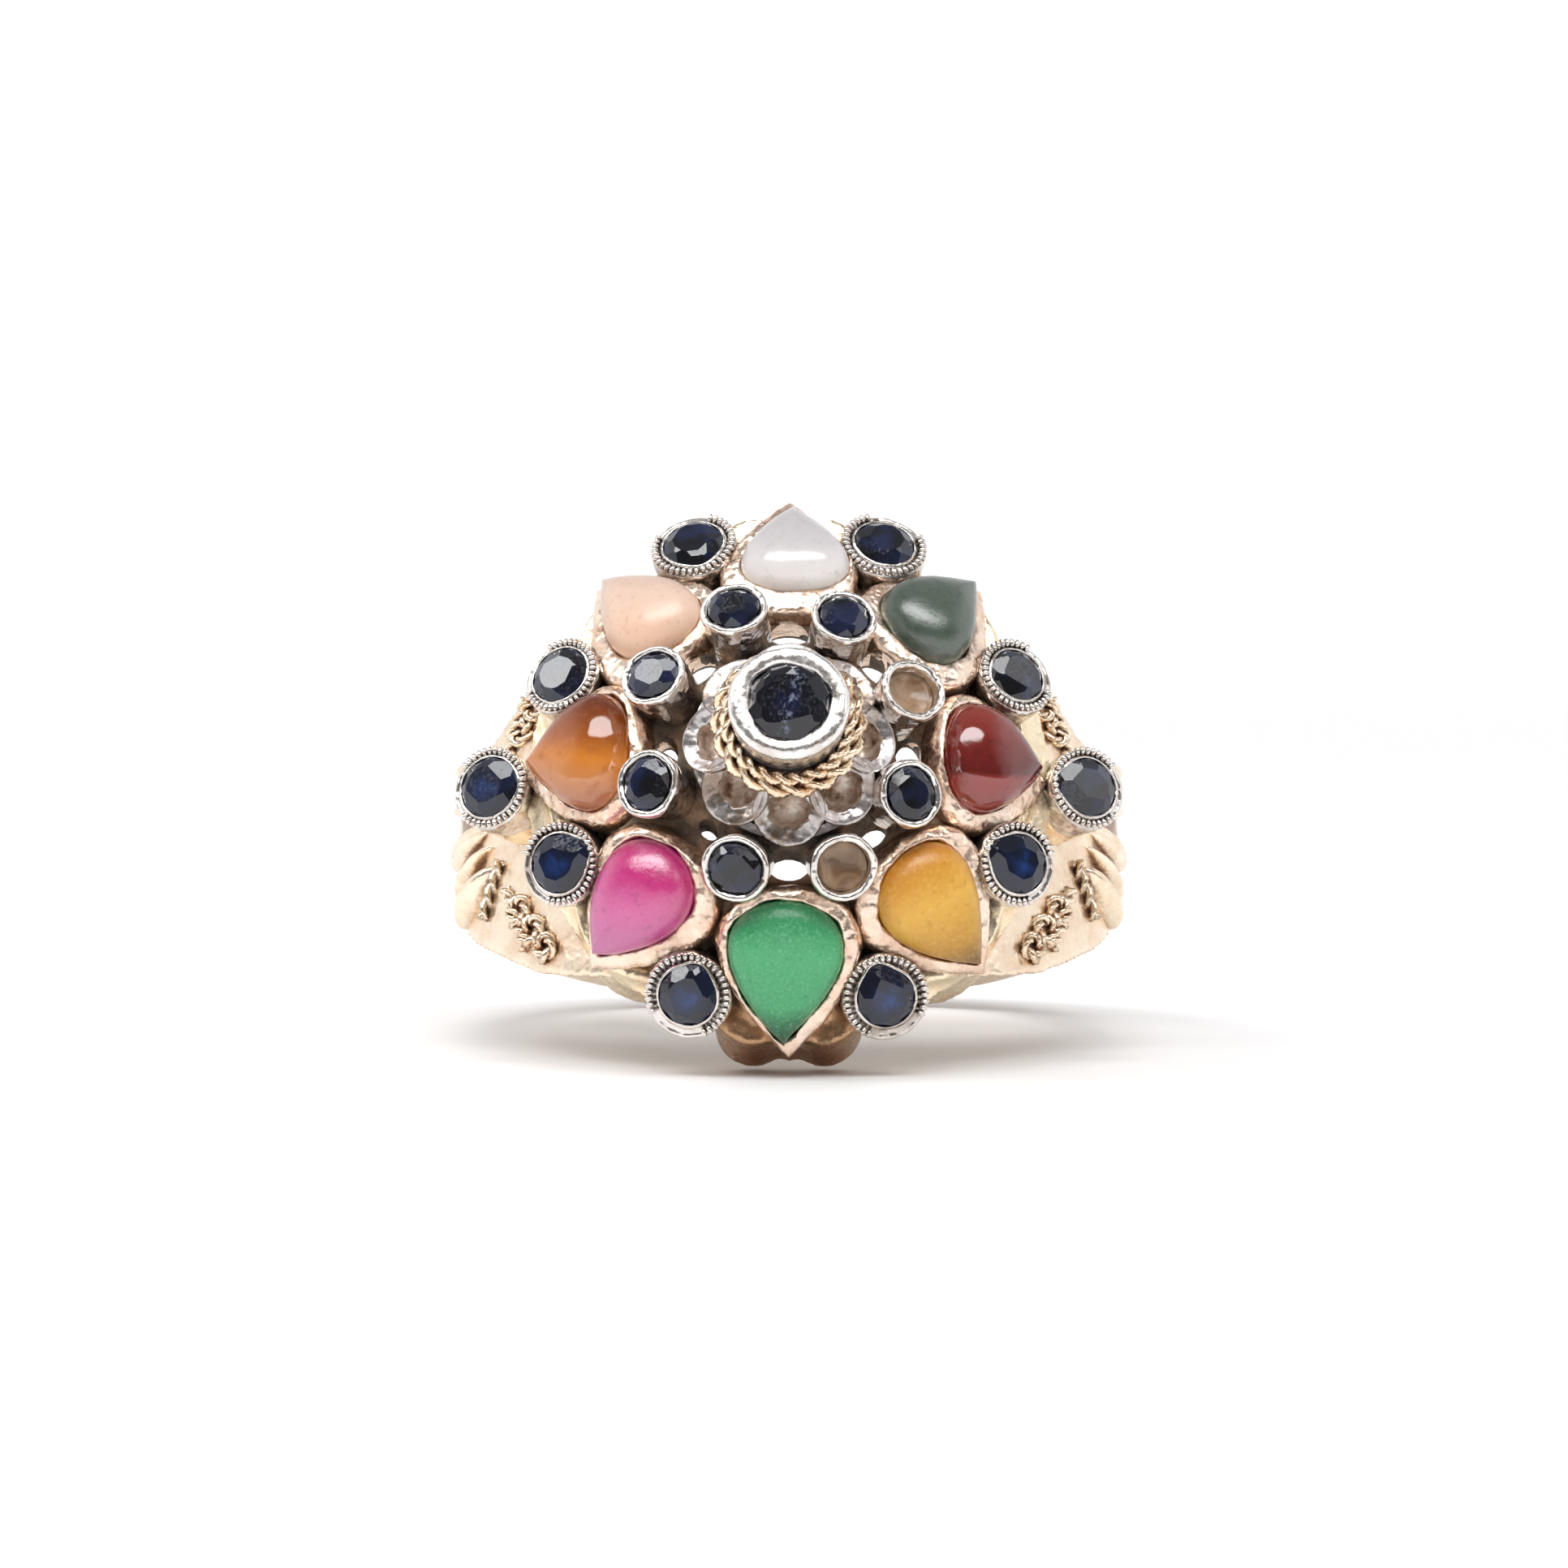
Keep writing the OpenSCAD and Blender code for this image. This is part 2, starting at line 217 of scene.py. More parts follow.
# How much wider the hollow is in the pieces that aren't the crown's own wall
HOLLOW_SPARE = 0.12
RIBS_SHADE_BROWN = (132, 88, 58)
RIBS_MIDDLE = (11.0, 1.2, 4.9)
RIBS_SPREAD = (2.2, 1.5, 2.0)


def blank(name):
    """An empty piece at the origin, open for modelling."""
    bpy.ops.object.select_all(action="DESELECT")
    piece = bpy.data.objects.new(name, bpy.data.meshes.new(name))
    bpy.context.collection.objects.link(piece)
    bpy.context.view_layer.objects.active = piece
    piece.select_set(True)
    bpy.ops.object.mode_set(mode="EDIT")
    return piece


def apply(piece, kind, **settings):
    """Puts a modifier on the piece and applies it."""
    bpy.ops.object.select_all(action="DESELECT")
    piece.select_set(True)
    bpy.context.view_layer.objects.active = piece
    modifier = piece.modifiers.new(kind, kind)
    for key, value in settings.items():
        setattr(modifier, key, value)
    bpy.ops.object.modifier_apply(modifier=modifier.name)


def rough_up(piece, size, depth):
    """Works the surface over by hand, with dents of that size and depth."""
    dents = bpy.data.textures.new(piece.name, "CLOUDS")
    dents.noise_scale = size
    apply(piece, "DISPLACE", texture=dents, texture_coords="LOCAL", strength=depth, mid_level=0.5)


def cut(piece, cutter):
    """Cuts the cutter's shape out of the piece."""
    apply(piece, "BOOLEAN", object=cutter, operation="DIFFERENCE", solver="MANIFOLD")
    bpy.data.objects.remove(cutter)


def turn_up(rings, sides):
    """Draws a closed wall up from ring to ring of (radius, height), in the open piece."""
    radius, height = rings[0]
    bpy.ops.mesh.primitive_circle_add(
        vertices=sides, radius=radius, fill_type="NGON", location=(0, 0, height)
    )
    for next_radius, next_height in rings[1:]:
        bpy.ops.mesh.extrude_region_move(TRANSFORM_OT_translate={"value": (0, 0, next_height - height)})
        size = next_radius / radius
        bpy.ops.transform.resize(value=(size, size, 1), center_override=(0, 0, next_height))
        radius, height = next_radius, next_height
    bpy.ops.mesh.select_all(action="SELECT")
    bpy.ops.mesh.normals_make_consistent(inside=False)


def turned(name, rings, sides):
    """A piece turned up from ring to ring of (radius, height)."""
    piece = blank(name)
    turn_up(rings, sides)
    bpy.ops.object.mode_set(mode="OBJECT")
    return piece


def hollow(spare=0.0):
    """The open back of the crown, as a cutter, and larger by what it has to spare."""
    rings = [
        (HOLLOW_R + spare, HOLLOW_Z - spare),
        (HOLLOW_R + spare, HOLLOW_SLOPE_Z + spare),
        (HOLLOW_TOP_R + spare, HOLLOW_SLOPE_Z + HOLLOW_SLOPE_H + spare),
    ]
    return turned("hollow", rings, 96)


def tint(red, green, blue):
    """A colour as the eye reads it, 0 to 255, as the shader takes it."""
    return (*((c / 255) ** 2.2 for c in (red, green, blue)), 1)


def spot_in_mm(tree, middle=(0, 0, 0), turn=(0, 0, 0)):
    """A place on a piece, in millimetres from that middle and turned back by that turn."""
    spot = add_node(tree, "TexCoord").outputs["Object"]
    place = {"Vector": spot, "Location": middle, "Rotation": turn, "Scale": (0.001, 0.001, 0.001)}
    return add_node(tree, "Mapping", place, vector_type="TEXTURE").outputs["Vector"]


def noise(tree, spot, scale, detail, rough=0.5, bend=0.0):
    """A cloudy pattern with so many clouds to the millimetre."""
    pattern = {"Vector": spot, "Scale": scale, "Detail": detail, "Roughness": rough, "Distortion": bend}
    return add_node(tree, "TexNoise", pattern).outputs["Fac"]


def bump(tree, strength, depth, height, under=None):
    """Dents that deep, in metres, in a surface that may have dents already."""
    sockets = {"Strength": strength, "Distance": depth, "Height": height}
    if under is not None:
        sockets["Normal"] = under
    return add_node(tree, "Bump", sockets).outputs["Normal"]


def worn_metal(name, bright, dull, tarnish_and_shade, grime_and_shade, polish, corner, dents=0.7, rubbed=0.8):
    """Old metal: bright where it is rubbed, dull in patches, tarnished in its corners and darkened there with
    painted shade.
    """
    material, tree, shader = new_material(name)
    spot = spot_in_mm(tree)
    cloud = noise(tree, spot, 0.7, 4.0, 0.6)
    fleck = noise(tree, spot, 5.0, 5.0, 0.7)
    ridge = add_node(tree, "NewGeometry").outputs["Pointiness"]
    ridge = spread(tree, ridge, 0.51, 0.58, 1.0, 1 - rubbed)
    # Ambient occlusion darkens the corners with painted shade as well as tarnish
    near = add_node(tree, "AmbientOcclusion", {"Distance": corner}, samples=4).outputs["AO"]
    shade = spread(tree, near, 0.15, 0.75, 1.0, 0.0)
    dirt_and_shade = maths(tree, "ADD", shade, spread(tree, fleck, 0.35, 0.7, -0.3, 0.3))
    dirt_and_shade = maths(tree, "MULTIPLY", spread(tree, dirt_and_shade, 0.15, 1.0, 0.0, grime_and_shade, soft=True), ridge)
    patch = maths(tree, "MULTIPLY", spread(tree, cloud, 0.4, 0.68, soft=True), ridge)
    colour = blend(tree, patch, tint(*bright), tint(*dull))
    rough = spread(tree, dirt_and_shade, 0.0, 1.0, polish, polish + 0.35)
    rough = maths(tree, "ADD", rough, spread(tree, fleck, 0.3, 0.7, -0.06, 0.12))
    blow = {"Vector": spot, "Scale": 3.2, "Smoothness": 0.5}
    blow = add_node(tree, "TexVoronoi", blow, feature="SMOOTH_F1").outputs["Distance"]
    surface = bump(tree, dents, 0.0002, noise(tree, spot, 1.5, 2.0))
    surface = bump(tree, 0.3, 0.00005, blow, surface)
    surface = bump(tree, 0.3, 0.00002, fleck, surface)
    plug(shader, {"Base Color": blend(tree, dirt_and_shade, colour, tint(*tarnish_and_shade)), "Metallic": 1})
    plug(shader, {"Roughness": rough, "Normal": surface})
    return material


def hand_in(piece, material, slot, *nodes):
    """Lays the finished piece down with the ring and gives it its metal or stone."""
    piece.data.transform(RESTING)
    piece.data.materials.clear()
    piece.data.materials.append(material)
    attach(piece, "root")
    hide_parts(*nodes)


def flare(height, column):
    """Half width of the hoop at a height, in front (1) or behind (2)."""
    for low, high in zip(FLARE, FLARE[1:]):
        if height <= high[0]:
            share = (height - low[0]) / (high[0] - low[0])
            return low[column] + share * (high[column] - low[column])
    return FLARE[-1][column]


hoop = blank("hoop_and_shoulders")
for radius, middle in ((FINGER_R, 0), (HOOP_R, HOOP_SHIFT)):
    bpy.ops.mesh.primitive_circle_add(
        vertices=HOOP_SIDES, radius=radius, rotation=(math.pi / 2, 0, 0), location=(0, 0, middle)
    )
bpy.ops.mesh.select_all(action="SELECT")
bpy.ops.mesh.bridge_edge_loops()
bpy.ops.transform.translate(value=(0, -1, 0))
for row in range(HOOP_ROWS):
    bpy.ops.mesh.extrude_region_move(TRANSFORM_OT_translate={"value": (0, 2 / HOOP_ROWS, 0)})
bpy.ops.mesh.select_all(action="SELECT")
bpy.ops.mesh.bisect(plane_co=(0, 0, HOOP_TOP), plane_no=(0, 0, 1), use_fill=True, clear_outer=True)
bpy.ops.mesh.select_all(action="SELECT")
bpy.ops.mesh.normals_make_consistent(inside=False)
bpy.ops.object.mode_set(mode="OBJECT")
for vertex in hoop.data.vertices:
    vertex.co.y *= flare(max(vertex.co.z, FLARE[0][0] + 0.01), 1 if vertex.co.y < 0 else 2)
cut(hoop, hollow(HOLLOW_SPARE))
apply(hoop, "REMESH", mode="VOXEL", voxel_size=HOOP_VOXEL)
apply(hoop, "SMOOTH", factor=0.5, iterations=8)
rough_up(hoop, 2.5, 0.1)
apply(hoop, "DECIMATE", ratio=0.5)
bpy.ops.object.shade_smooth()
gold = worn_metal("worn_gold", (254, 234, 210), (240, 213, 186), (116, 84, 60), 0.9, 0.27, 0.0011, dents=0.3)
# Round the ribs on the shoulders, in the hollows they leave, the gold is painted brown as shade
tree = gold.node_tree
shader = tree.nodes["Principled BSDF"]
on_ring = spot_in_mm(tree, turn=RESTING.to_euler())
sides = add_node(tree, "SeparateXYZ", {"Vector": on_ring}).outputs
across = maths(tree, "ABSOLUTE", sides["X"])
along = maths(tree, "ABSOLUTE", sides["Y"])
folded = add_node(tree, "CombineXYZ", {"X": across, "Y": along, "Z": sides["Z"]}).outputs[0]
off_ribs = vector_maths(tree, "DIVIDE", vector_maths(tree, "SUBTRACT", folded, RIBS_MIDDLE), RIBS_SPREAD)
off_ribs = vector_maths(tree, "LENGTH", off_ribs)
ragged = maths(tree, "MULTIPLY_ADD", noise(tree, on_ring, 1.5, 3.0), 0.9, off_ribs)
rib_shade = spread(tree, ragged, 1.55, 1.1, 0.0, 0.9, soft=True)
clean = shader.inputs["Base Color"].links[0].from_socket
plug(shader, {"Base Color": blend(tree, rib_shade, clean, tint(*RIBS_SHADE_BROWN))})
hand_in(hoop, gold, "gold", "mount")

# Ribs on the shoulders
# Smooth gold ribs, cast with the hoop, that fan out over each shoulder from the side
# collet, the lowest of them the fattest. The grooves between them are tarnished and darkened with painted
# shade.
# middle's angle from the crown and place along the finger, length, slant, width, height
RIBS = [
    (75.5, 0.1, 4.6, 0, 0.34, 0.42),
    (71.5, 1.15, 3.8, 13, 0.24, 0.5),
    (68.8, 2.2, 3.2, 24, 0.44, 0.7),
]


def on_hoop(angle, along, lift=0.0):
    """Where a thing stands on the hoop's outer face, at an angle from the crown."""
    return (
        Matrix.Translation((0, 0, HOOP_SHIFT))
        @ Matrix.Rotation(math.radians(angle), 4, "Y")
        @ Matrix.Translation((0, along, HOOP_R + lift))
    )


def mirrors(back=1.0):
    """The four quarters of the ring; those behind are as long as front ones times back."""
    return [Matrix.Diagonal((across, along, 1, 1)) for across in (1, -1) for along in (1, -back)]


def set_out(piece, places):
    """Puts a copy of the piece at each place, and joins the copies as that piece."""
    name = piece.name
    piece.name = name + "_pattern"
    bpy.ops.object.select_all(action="DESELECT")
    for place in places:
        copy = piece.copy()
        copy.data = piece.data.copy()
        copy.data.transform(place)
        if place.determinant() < 0:
            copy.data.flip_normals()
        bpy.context.collection.objects.link(copy)
        copy.select_set(True)
        bpy.context.view_layer.objects.active = copy
    bpy.ops.object.join()
    bpy.data.objects.remove(piece)
    joined = bpy.context.view_layer.objects.active
    joined.name = name
    return joined


rib = blank("shoulder_ribs")
bpy.ops.mesh.primitive_uv_sphere_add(segments=20, ring_count=24, radius=1, rotation=(0, math.pi / 2, 0))
bpy.ops.object.mode_set(mode="OBJECT")
rib_places = [
    Matrix.Translation((math.radians(angle) * HOOP_R, along, 0))
    @ Matrix.Rotation(math.radians(slant), 4, "Z")
    @ Matrix.Diagonal((length / 2, width, height, 1))
    for angle, along, length, slant, width, height in RIBS
]
ribs = set_out(rib, [mirror @ place for place in rib_places for mirror in mirrors()])
# Drawn flat, the ribs are now bent round the hoop
for vertex in ribs.data.vertices:
    vertex.co = on_hoop(math.degrees(vertex.co.x / HOOP_R), vertex.co.y, vertex.co.z) @ Vector()
rough_up(ribs, 0.9, 0.1)
bpy.ops.object.shade_smooth()
raised_gold = worn_metal(
    "raised_gold", (255, 238, 214), (242, 214, 184), (134, 92, 62), 0.9, 0.22, 0.0007, dents=0.3, rubbed=0
)
hand_in(ribs, raised_gold, "gold", "mount")

# Twisted wire on the shoulders
# Two strands of gold wire twisted together and soldered on: a knot of scrolls beside
# the crown, a length between the knot and the ribs, and a short one under the knot.
STRAND_R = 0.14
STRAND_OFF = 0.11
TWIST_LENGTH = 0.95
STEPS_A_TWIST = 8
STRAND_SIDES = 8
BACK_SHARE = 0.8
RING_POINTS = 20
LINE_PARTS = 6
# Straight lengths are of a little thicker wire than the rings
LINE_SHARE = 1.1
# angle and place along the finger of a ring's middle, its radius
WIRE_RINGS = [
    ((52.6, -3.6), 0.45),
    ((48.8, -4.45), 0.42),
    ((45.6, -5.2), 0.36),
]
WIRE_LINES = [
    ((58.2, -1.5), (65.0, -3.2)),
    ((56.4, -2.6), (50.6, -5.0)),
]


def twisted_wire(name, route, strand, off, twist, closed=False):
    """Two strands twisted together along a route of points."""
    track = bpy.data.curves.new(name + "_route", "CURVE")
    track.dimensions = "3D"
    line = track.splines.new("POLY")
    line.points.add(len(route) - 1)
    for point, spot in zip(line.points, route):
        point.co = (*spot, 1)
    line.use_cyclic_u = closed
    path = bpy.data.objects.new(name + "_route", track)
    bpy.context.collection.objects.link(path)
    length = line.calc_length()
    twists = max(1, round(length / twist))
    steps = twists * STEPS_A_TWIST
    wire = blank(name)
    for side in (-off, off):
        bpy.ops.mesh.primitive_circle_add(
            vertices=STRAND_SIDES, radius=strand, rotation=(0, math.pi / 2, 0), location=(0, side, 0)
        )
    bpy.ops.mesh.select_all(action="SELECT")
    bpy.ops.mesh.extrude_edges_move(TRANSFORM_OT_translate={"value": (length / steps, 0, 0)})
    bpy.ops.object.mode_set(mode="OBJECT")
    apply(
        wire, "ARRAY", count=steps, use_relative_offset=False, use_constant_offset=True,
        constant_offset_displace=(length / steps, 0, 0), use_merge_vertices=True, merge_threshold=0.002,
    )
    apply(wire, "SIMPLE_DEFORM", deform_method="TWIST", deform_axis="X", angle=twists * 2 * math.pi)
    apply(wire, "CURVE", object=path, deform_axis="POS_X")
    bpy.ops.object.mode_set(mode="EDIT")
    bpy.ops.mesh.select_all(action="SELECT")
    bpy.ops.mesh.remove_doubles(threshold=0.01)
    bpy.ops.mesh.fill_holes(sides=STRAND_SIDES)
    bpy.ops.mesh.normals_make_consistent(inside=False)
    bpy.ops.object.mode_set(mode="OBJECT")
    bpy.data.objects.remove(path)
    bpy.ops.object.shade_smooth()
    return wire


def join(name, pieces):
    """Joins pieces as one of that name."""
    bpy.ops.object.select_all(action="DESELECT")
    for piece in pieces:
        piece.select_set(True)
    bpy.context.view_layer.objects.active = pieces[0]
    bpy.ops.object.join()
    pieces[0].name = name
    return pieces[0]


wires = []
for (angle, along), ring_r in WIRE_RINGS:
    loop = []
    for step in range(RING_POINTS):
        turn = 2 * math.pi * step / RING_POINTS
        slide = math.degrees(ring_r * math.cos(turn) / HOOP_R)
        loop.append(on_hoop(angle + slide, along + ring_r * math.sin(turn), 0.1) @ Vector())
    wires.append(twisted_wire("ring", loop, STRAND_R, STRAND_OFF, TWIST_LENGTH, closed=True))
for (angle, along), (far_angle, far_along) in WIRE_LINES:
    line_route = []
    for step in range(LINE_PARTS + 1):
        step_angle = angle + (far_angle - angle) * step / LINE_PARTS
        step_along = along + (far_along - along) * step / LINE_PARTS
        line_route.append(on_hoop(step_angle, step_along, 0.08) @ Vector())
    wires.append(
        twisted_wire("line", line_route, STRAND_R * LINE_SHARE, STRAND_OFF * LINE_SHARE, TWIST_LENGTH)
    )
scrolls = set_out(join("shoulder_scrolls", wires), mirrors(BACK_SHARE))
hand_in(scrolls, raised_gold, "gold", "mount")

# Crown base
# A lobed gold wall with a sloping shell on it, open behind and pierced between the
# collets. The collets are soldered into it, so its edges run into them.
BASE_Z = 9.3
WALL_Z = 12.2
WALL_R = 8.2
SIDE_LOBE_R = 2.9
SIDE_LOBE_REACH = 9
LOBE_R = 1.3
LOBE_REACH = 9.36
LOBE_X = 1.2
LOBE_NOTCH = 0.2
SHELL_FOOT_R = 9
SHELL_TOP_R = 3.3
SHELL_H = 4.1
SHELL_Z = WALL_Z - 1
BASE_VOXEL = 0.15
FOOT_BROWN = (172, 126, 90)
EIGHTHS = range(0, 360, 45)
# each gap's reach and size, turn by turn of an eighth
GAPS = [(4.0, 0.9), (4.3, 1), (4.35, 1), (4.3, 1), (4.1, 0.8), (3.8, 0.5), (3.9, 0.95), (3.95, 0.75)]
# name, turn round the crown, reach, height, lean, collet's length and width
PEARS = [
    ("white", 90, 7.5, 13.6, 27, 5.42, 4.47),
    ("grey_green", 46, 7.2, 13.5, 35, 5.52, 4.62),
    ("red", 0, 6.9, 13.3, 43, 5.32, 4.67),
    ("yellow", -46, 7.2, 13.5, 35, 5.62, 4.82),
    ("green", -90, 7.35, 13.75, 27, 5.77, 4.67),
    ("pink", -135, 7.15, 13.5, 35, 5.52, 4.62),
    ("orange", 178, 7.05, 13.4, 43, 5.52, 4.82),
    ("peach", 134, 7.2, 13.5, 35, 5.52, 4.62),
]
PEAR_WIDEST = 0.75
# turn, reach, height, lean, stone radius, collet radius, point of the stone
OUTER_ROUNDS = [
    (112, 8.67, 13.2, 30, 1.08, 1.5, 0.5),
    (68, 8.67, 13.2, 30, 1.05, 1.5, 0.1),
    (23.4, 8.42, 13.2, 30, 1, 1.4, 0.5),
    (0, 10.17, 11.2, 28, 1.1, 1.45, 1.0),
    (-23.4, 8.42, 13.2, 30, 1.08, 1.45, 0.9),
    (-68, 8.67, 13.2, 30, 1.05, 1.5, 0.9),
    (-113, 8.67, 13.2, 30, 1.05, 1.5, 0.7),
    (-156.6, 8.42, 13.2, 30, 1.08, 1.45, 0.9),
    (180, 10.17, 11.2, 28, 1.1, 1.45, 0.3),
    (156.6, 8.42, 13.2, 30, 1.05, 1.4, 0.1),
]
# turn and reach
INNER_ROUNDS = {
    "sapphire_inner_1": (112, 4.97),
    "sapphire_inner_2": (66.7, 4.7),
    "empty_inner_right": (22.7, 4.54),
    "sapphire_inner_3": (-25.2, 4.51),
    "empty_inner_front": (-67.9, 4.88),
    "sapphire_inner_4": (-111.4, 4.89),
    "sapphire_inner_5": (-161.6, 4.99),
    "sapphire_inner_6": (153.9, 5.09),
}
INNER_Z = 16.5
INNER_LEAN = 25
INNER_STONE_R = 0.85
INNER_R = 1.15


def on_crown(turn, reach, height, lean):
    """Where a thing stands on the crown: turned about its axis, then leaning out."""
    return (
        Matrix.Rotation(math.radians(turn), 4, "Z")
        @ Matrix.Translation((reach, 0, height))
        @ Matrix.Rotation(math.radians(lean), 4, "Y")
    )


def press(piece, outline):
    """Presses a turned piece to another outline: each point goes where it says."""
    for vertex in piece.data.vertices:
        turn = math.atan2(vertex.co.y, vertex.co.x) % (2 * math.pi)
        vertex.co.x, vertex.co.y = outline(turn, math.hypot(vertex.co.x, vertex.co.y))


def pear_spot(length, width, turn):
    """A point on a pear's outline, round end inwards and tip outwards."""
    x = math.cos(turn) * length / 2
    y = math.sin(turn) * math.sin(turn / 2) / PEAR_WIDEST * width / 2
    return x, y


def pear_block(pear, rings, sides):
    """A block turned up under a pear; a ring's radius less ten is its way out from the collet."""
    piece = turned("block", [(10 + out, height) for out, height in rings], sides)
    press(piece, lambda turn, ring: pear_spot(pear[5] + 2 * (ring - 10), pear[6] + 2 * (ring - 10), turn))
    piece.data.transform(on_crown(*pear[1:5]))
    return piece


def round_block(rings, place):
    """A block turned up under a round collet."""
    piece = turned("block", rings, 32)
    piece.data.transform(on_crown(*place))
    return piece


def gaps():
    """The eight openings between the collets, as one cutter."""
    cutter = blank("gaps")
    bpy.ops.mesh.primitive_cylinder_add(vertices=18, radius=0.5, depth=9)
    bpy.ops.transform.resize(value=(1, 1.6, 1))
    bpy.ops.object.mode_set(mode="OBJECT")
    places = [
        Matrix.Rotation(math.radians(turn), 4, "Z")
        @ Matrix.Translation((reach, 0, SHELL_Z + SHELL_H))
        @ Matrix.Diagonal((size, size, 1, 1))
        for turn, (reach, size) in zip(EIGHTHS, GAPS)
    ]
    return set_out(cutter, places)


def colour_ramp(tree, value, stops):
    """The colour at a value, out of stops of (share, colour)."""
    ramp = add_node(tree, "ValToRGB", {"Fac": value})
    while len(ramp.color_ramp.elements) < len(stops):
        ramp.color_ramp.elements.new(1)
    for stop, (share, colour) in zip(ramp.color_ramp.elements, stops):
        stop.position = share
        stop.color = tint(*colour)
    return ramp.outputs["Color"]


base = blank("crown_base")
wall_h = WALL_Z - BASE_Z
wall_middle = (BASE_Z + WALL_Z) / 2
bpy.ops.mesh.primitive_cylinder_add(
    vertices=96, radius=WALL_R, depth=wall_h, location=(0, 0, wall_middle)
)
for turn in (45, 135, 225, 315):
    reach = SIDE_LOBE_REACH - SIDE_LOBE_R
    place = (reach * math.cos(math.radians(turn)), reach * math.sin(math.radians(turn)), wall_middle)
    bpy.ops.mesh.primitive_cylinder_add(vertices=64, radius=SIDE_LOBE_R, depth=wall_h, location=place)
for across, back in ((-LOBE_X, 0), (0, LOBE_NOTCH), (LOBE_X, 0)):
    for along in (LOBE_R - LOBE_REACH + back, LOBE_REACH - LOBE_R - back):
        bpy.ops.mesh.primitive_cylinder_add(
            vertices=40, radius=LOBE_R, depth=wall_h, location=(across, along, wall_middle)
        )
shell_middle = SHELL_Z + SHELL_H / 2
bpy.ops.mesh.primitive_cone_add(
    vertices=96, radius1=SHELL_FOOT_R, radius2=SHELL_TOP_R, depth=SHELL_H, location=(0, 0, shell_middle)
)
bpy.ops.object.mode_set(mode="OBJECT")
blocks = [base]
for pear in PEARS:
    blocks.append(pear_block(pear, [(-0.36, -3.0), (-0.06, -2.0), (0.1, -0.7)], 40))
for outer in OUTER_ROUNDS:
    blocks.append(round_block([(outer[5] * 0.85, -3.2), (outer[5] * 0.94, -1.1)], outer[:4]))
for turn, reach in INNER_ROUNDS.values():
    blocks.append(
        round_block([(INNER_R * 0.8, -3.2), (INNER_R * 0.86, -1.9)], (turn, reach, INNER_Z, INNER_LEAN))
    )
base = join("crown_base", blocks)
apply(base, "REMESH", mode="VOXEL", voxel_size=BASE_VOXEL)
apply(base, "SMOOTH", factor=0.5, iterations=6)
cut(base, hollow())
cut(base, gaps())
rough_up(base, 0.9, 0.08)
apply(base, "DECIMATE", ratio=0.6)
bpy.ops.object.shade_smooth_by_angle(angle=math.radians(45))
base_gold = worn_metal(
    "base_gold", (254, 238, 206), (236, 206, 170), (84, 60, 42), 0.9, 0.24, 0.0012, dents=0.3
)
# Round and under the flower the metal is painted dark brown, as crust and as painted shade, and it is browner
# towards the foot
tree = base_gold.node_tree
shader = tree.nodes["Principled BSDF"]
on_axis = spot_in_mm(tree, turn=RESTING.to_euler())
from_axis = vector_maths(tree, "LENGTH", vector_maths(tree, "MULTIPLY", on_axis, (1, 1, 0)))
inside = spread(tree, from_axis, 6.4, 5.2, 0.0, 0.92, soft=True)
foot = add_node(tree, "SeparateXYZ", {"Vector": on_axis}).outputs["Y"]
foot = spread(tree, foot, -7.4, -8.4, 0.0, 0.85, soft=True)
clean = blend(tree, foot, shader.inputs["Base Color"].links[0].from_socket, tint(*FOOT_BROWN))
crust_and_shade = noise(tree, on_axis, 1.3, 3.0)
crust_and_shade = colour_ramp(tree, crust_and_shade, [(0.4, (48, 34, 27)), (0.62, (116, 88, 66))])
matt = maths(tree, "MULTIPLY_ADD", inside, 0.3, shader.inputs["Roughness"].links[0].from_socket)
bare = spread(tree, inside, 0.0, 1.0, 1.0, 0.35)
plug(shader, {"Base Color": blend(tree, inside, clean, crust_and_shade), "Metallic": bare, "Roughness": matt})
hand_in(base, base_gold, "gold", "mount")

# Pear collets
# Thick gold walls drawn up round the eight pear stones and pushed over their edges by
# hand. The tops are scraped flat, wide here and narrow there, and bite over the stone.
# The stone as it shows: length, width, its way off the collet's middle, the dome's
# height, how round its top is and how steep its side (less is flatter and steeper)
SHOWN = {
    "white": (3.85, 3.65, 0.02, -0.18, 1.2, 0.75, 0.9),
    "grey_green": (4.35, 3.35, -0.05, 0.07, 1.45, 0.82, 0.8),
    "red": (4.1, 3.85, -0.34, 0.08, 1.5, 0.8, 0.8),
    "yellow": (4.85, 3.5, -0.1, 0.0, 1.15, 0.65, 0.8),
    "green": (5.0, 3.8, -0.04, -0.14, 0.85, 0.36, 1.0),
    "pink": (4.85, 3.35, -0.13, -0.16, 1.5, 0.85, 0.85),
    "orange": (4.45, 3.95, -0.24, 0.0, 1.5, 0.76, 0.8),
    "peach": (4.6, 3.25, 0.0, -0.16, 1.4, 0.82, 0.8),
}
# share of the collet's own outline, way out from it, height over the stone's edge
COLLET_RINGS = [
    (1.0, -0.3, -2.6), (1.0, -0.1, -1.5), (1.0, 0.04, -0.6), (1.0, 0.06, -0.22),
    (0.95, 0.0, -0.03), (0.75, 0.0, 0.07), (0.45, 0.03, 0.12), (0.15, 0.06, 0.16),
    (0.0, 0.03, 0.17), (0.0, -0.04, 0.12), (0.0, -0.04, 0.0), (0.0, 0.0, -0.4), (0.0, -0.05, -1.1),
]
COLLET_SIDES = 88


def smooth_over(piece):
    """Divides every face in four and rounds them off."""
    apply(piece, "SUBSURF", levels=1, render_levels=1, use_limit_surface=False)


def uneven(turn, kind):
    """How much a hand-made outline swells at that turn."""
    return 1 + 0.02 * math.sin(2 * turn + kind) + 0.014 * math.sin(3 * turn + 2.3 * kind)


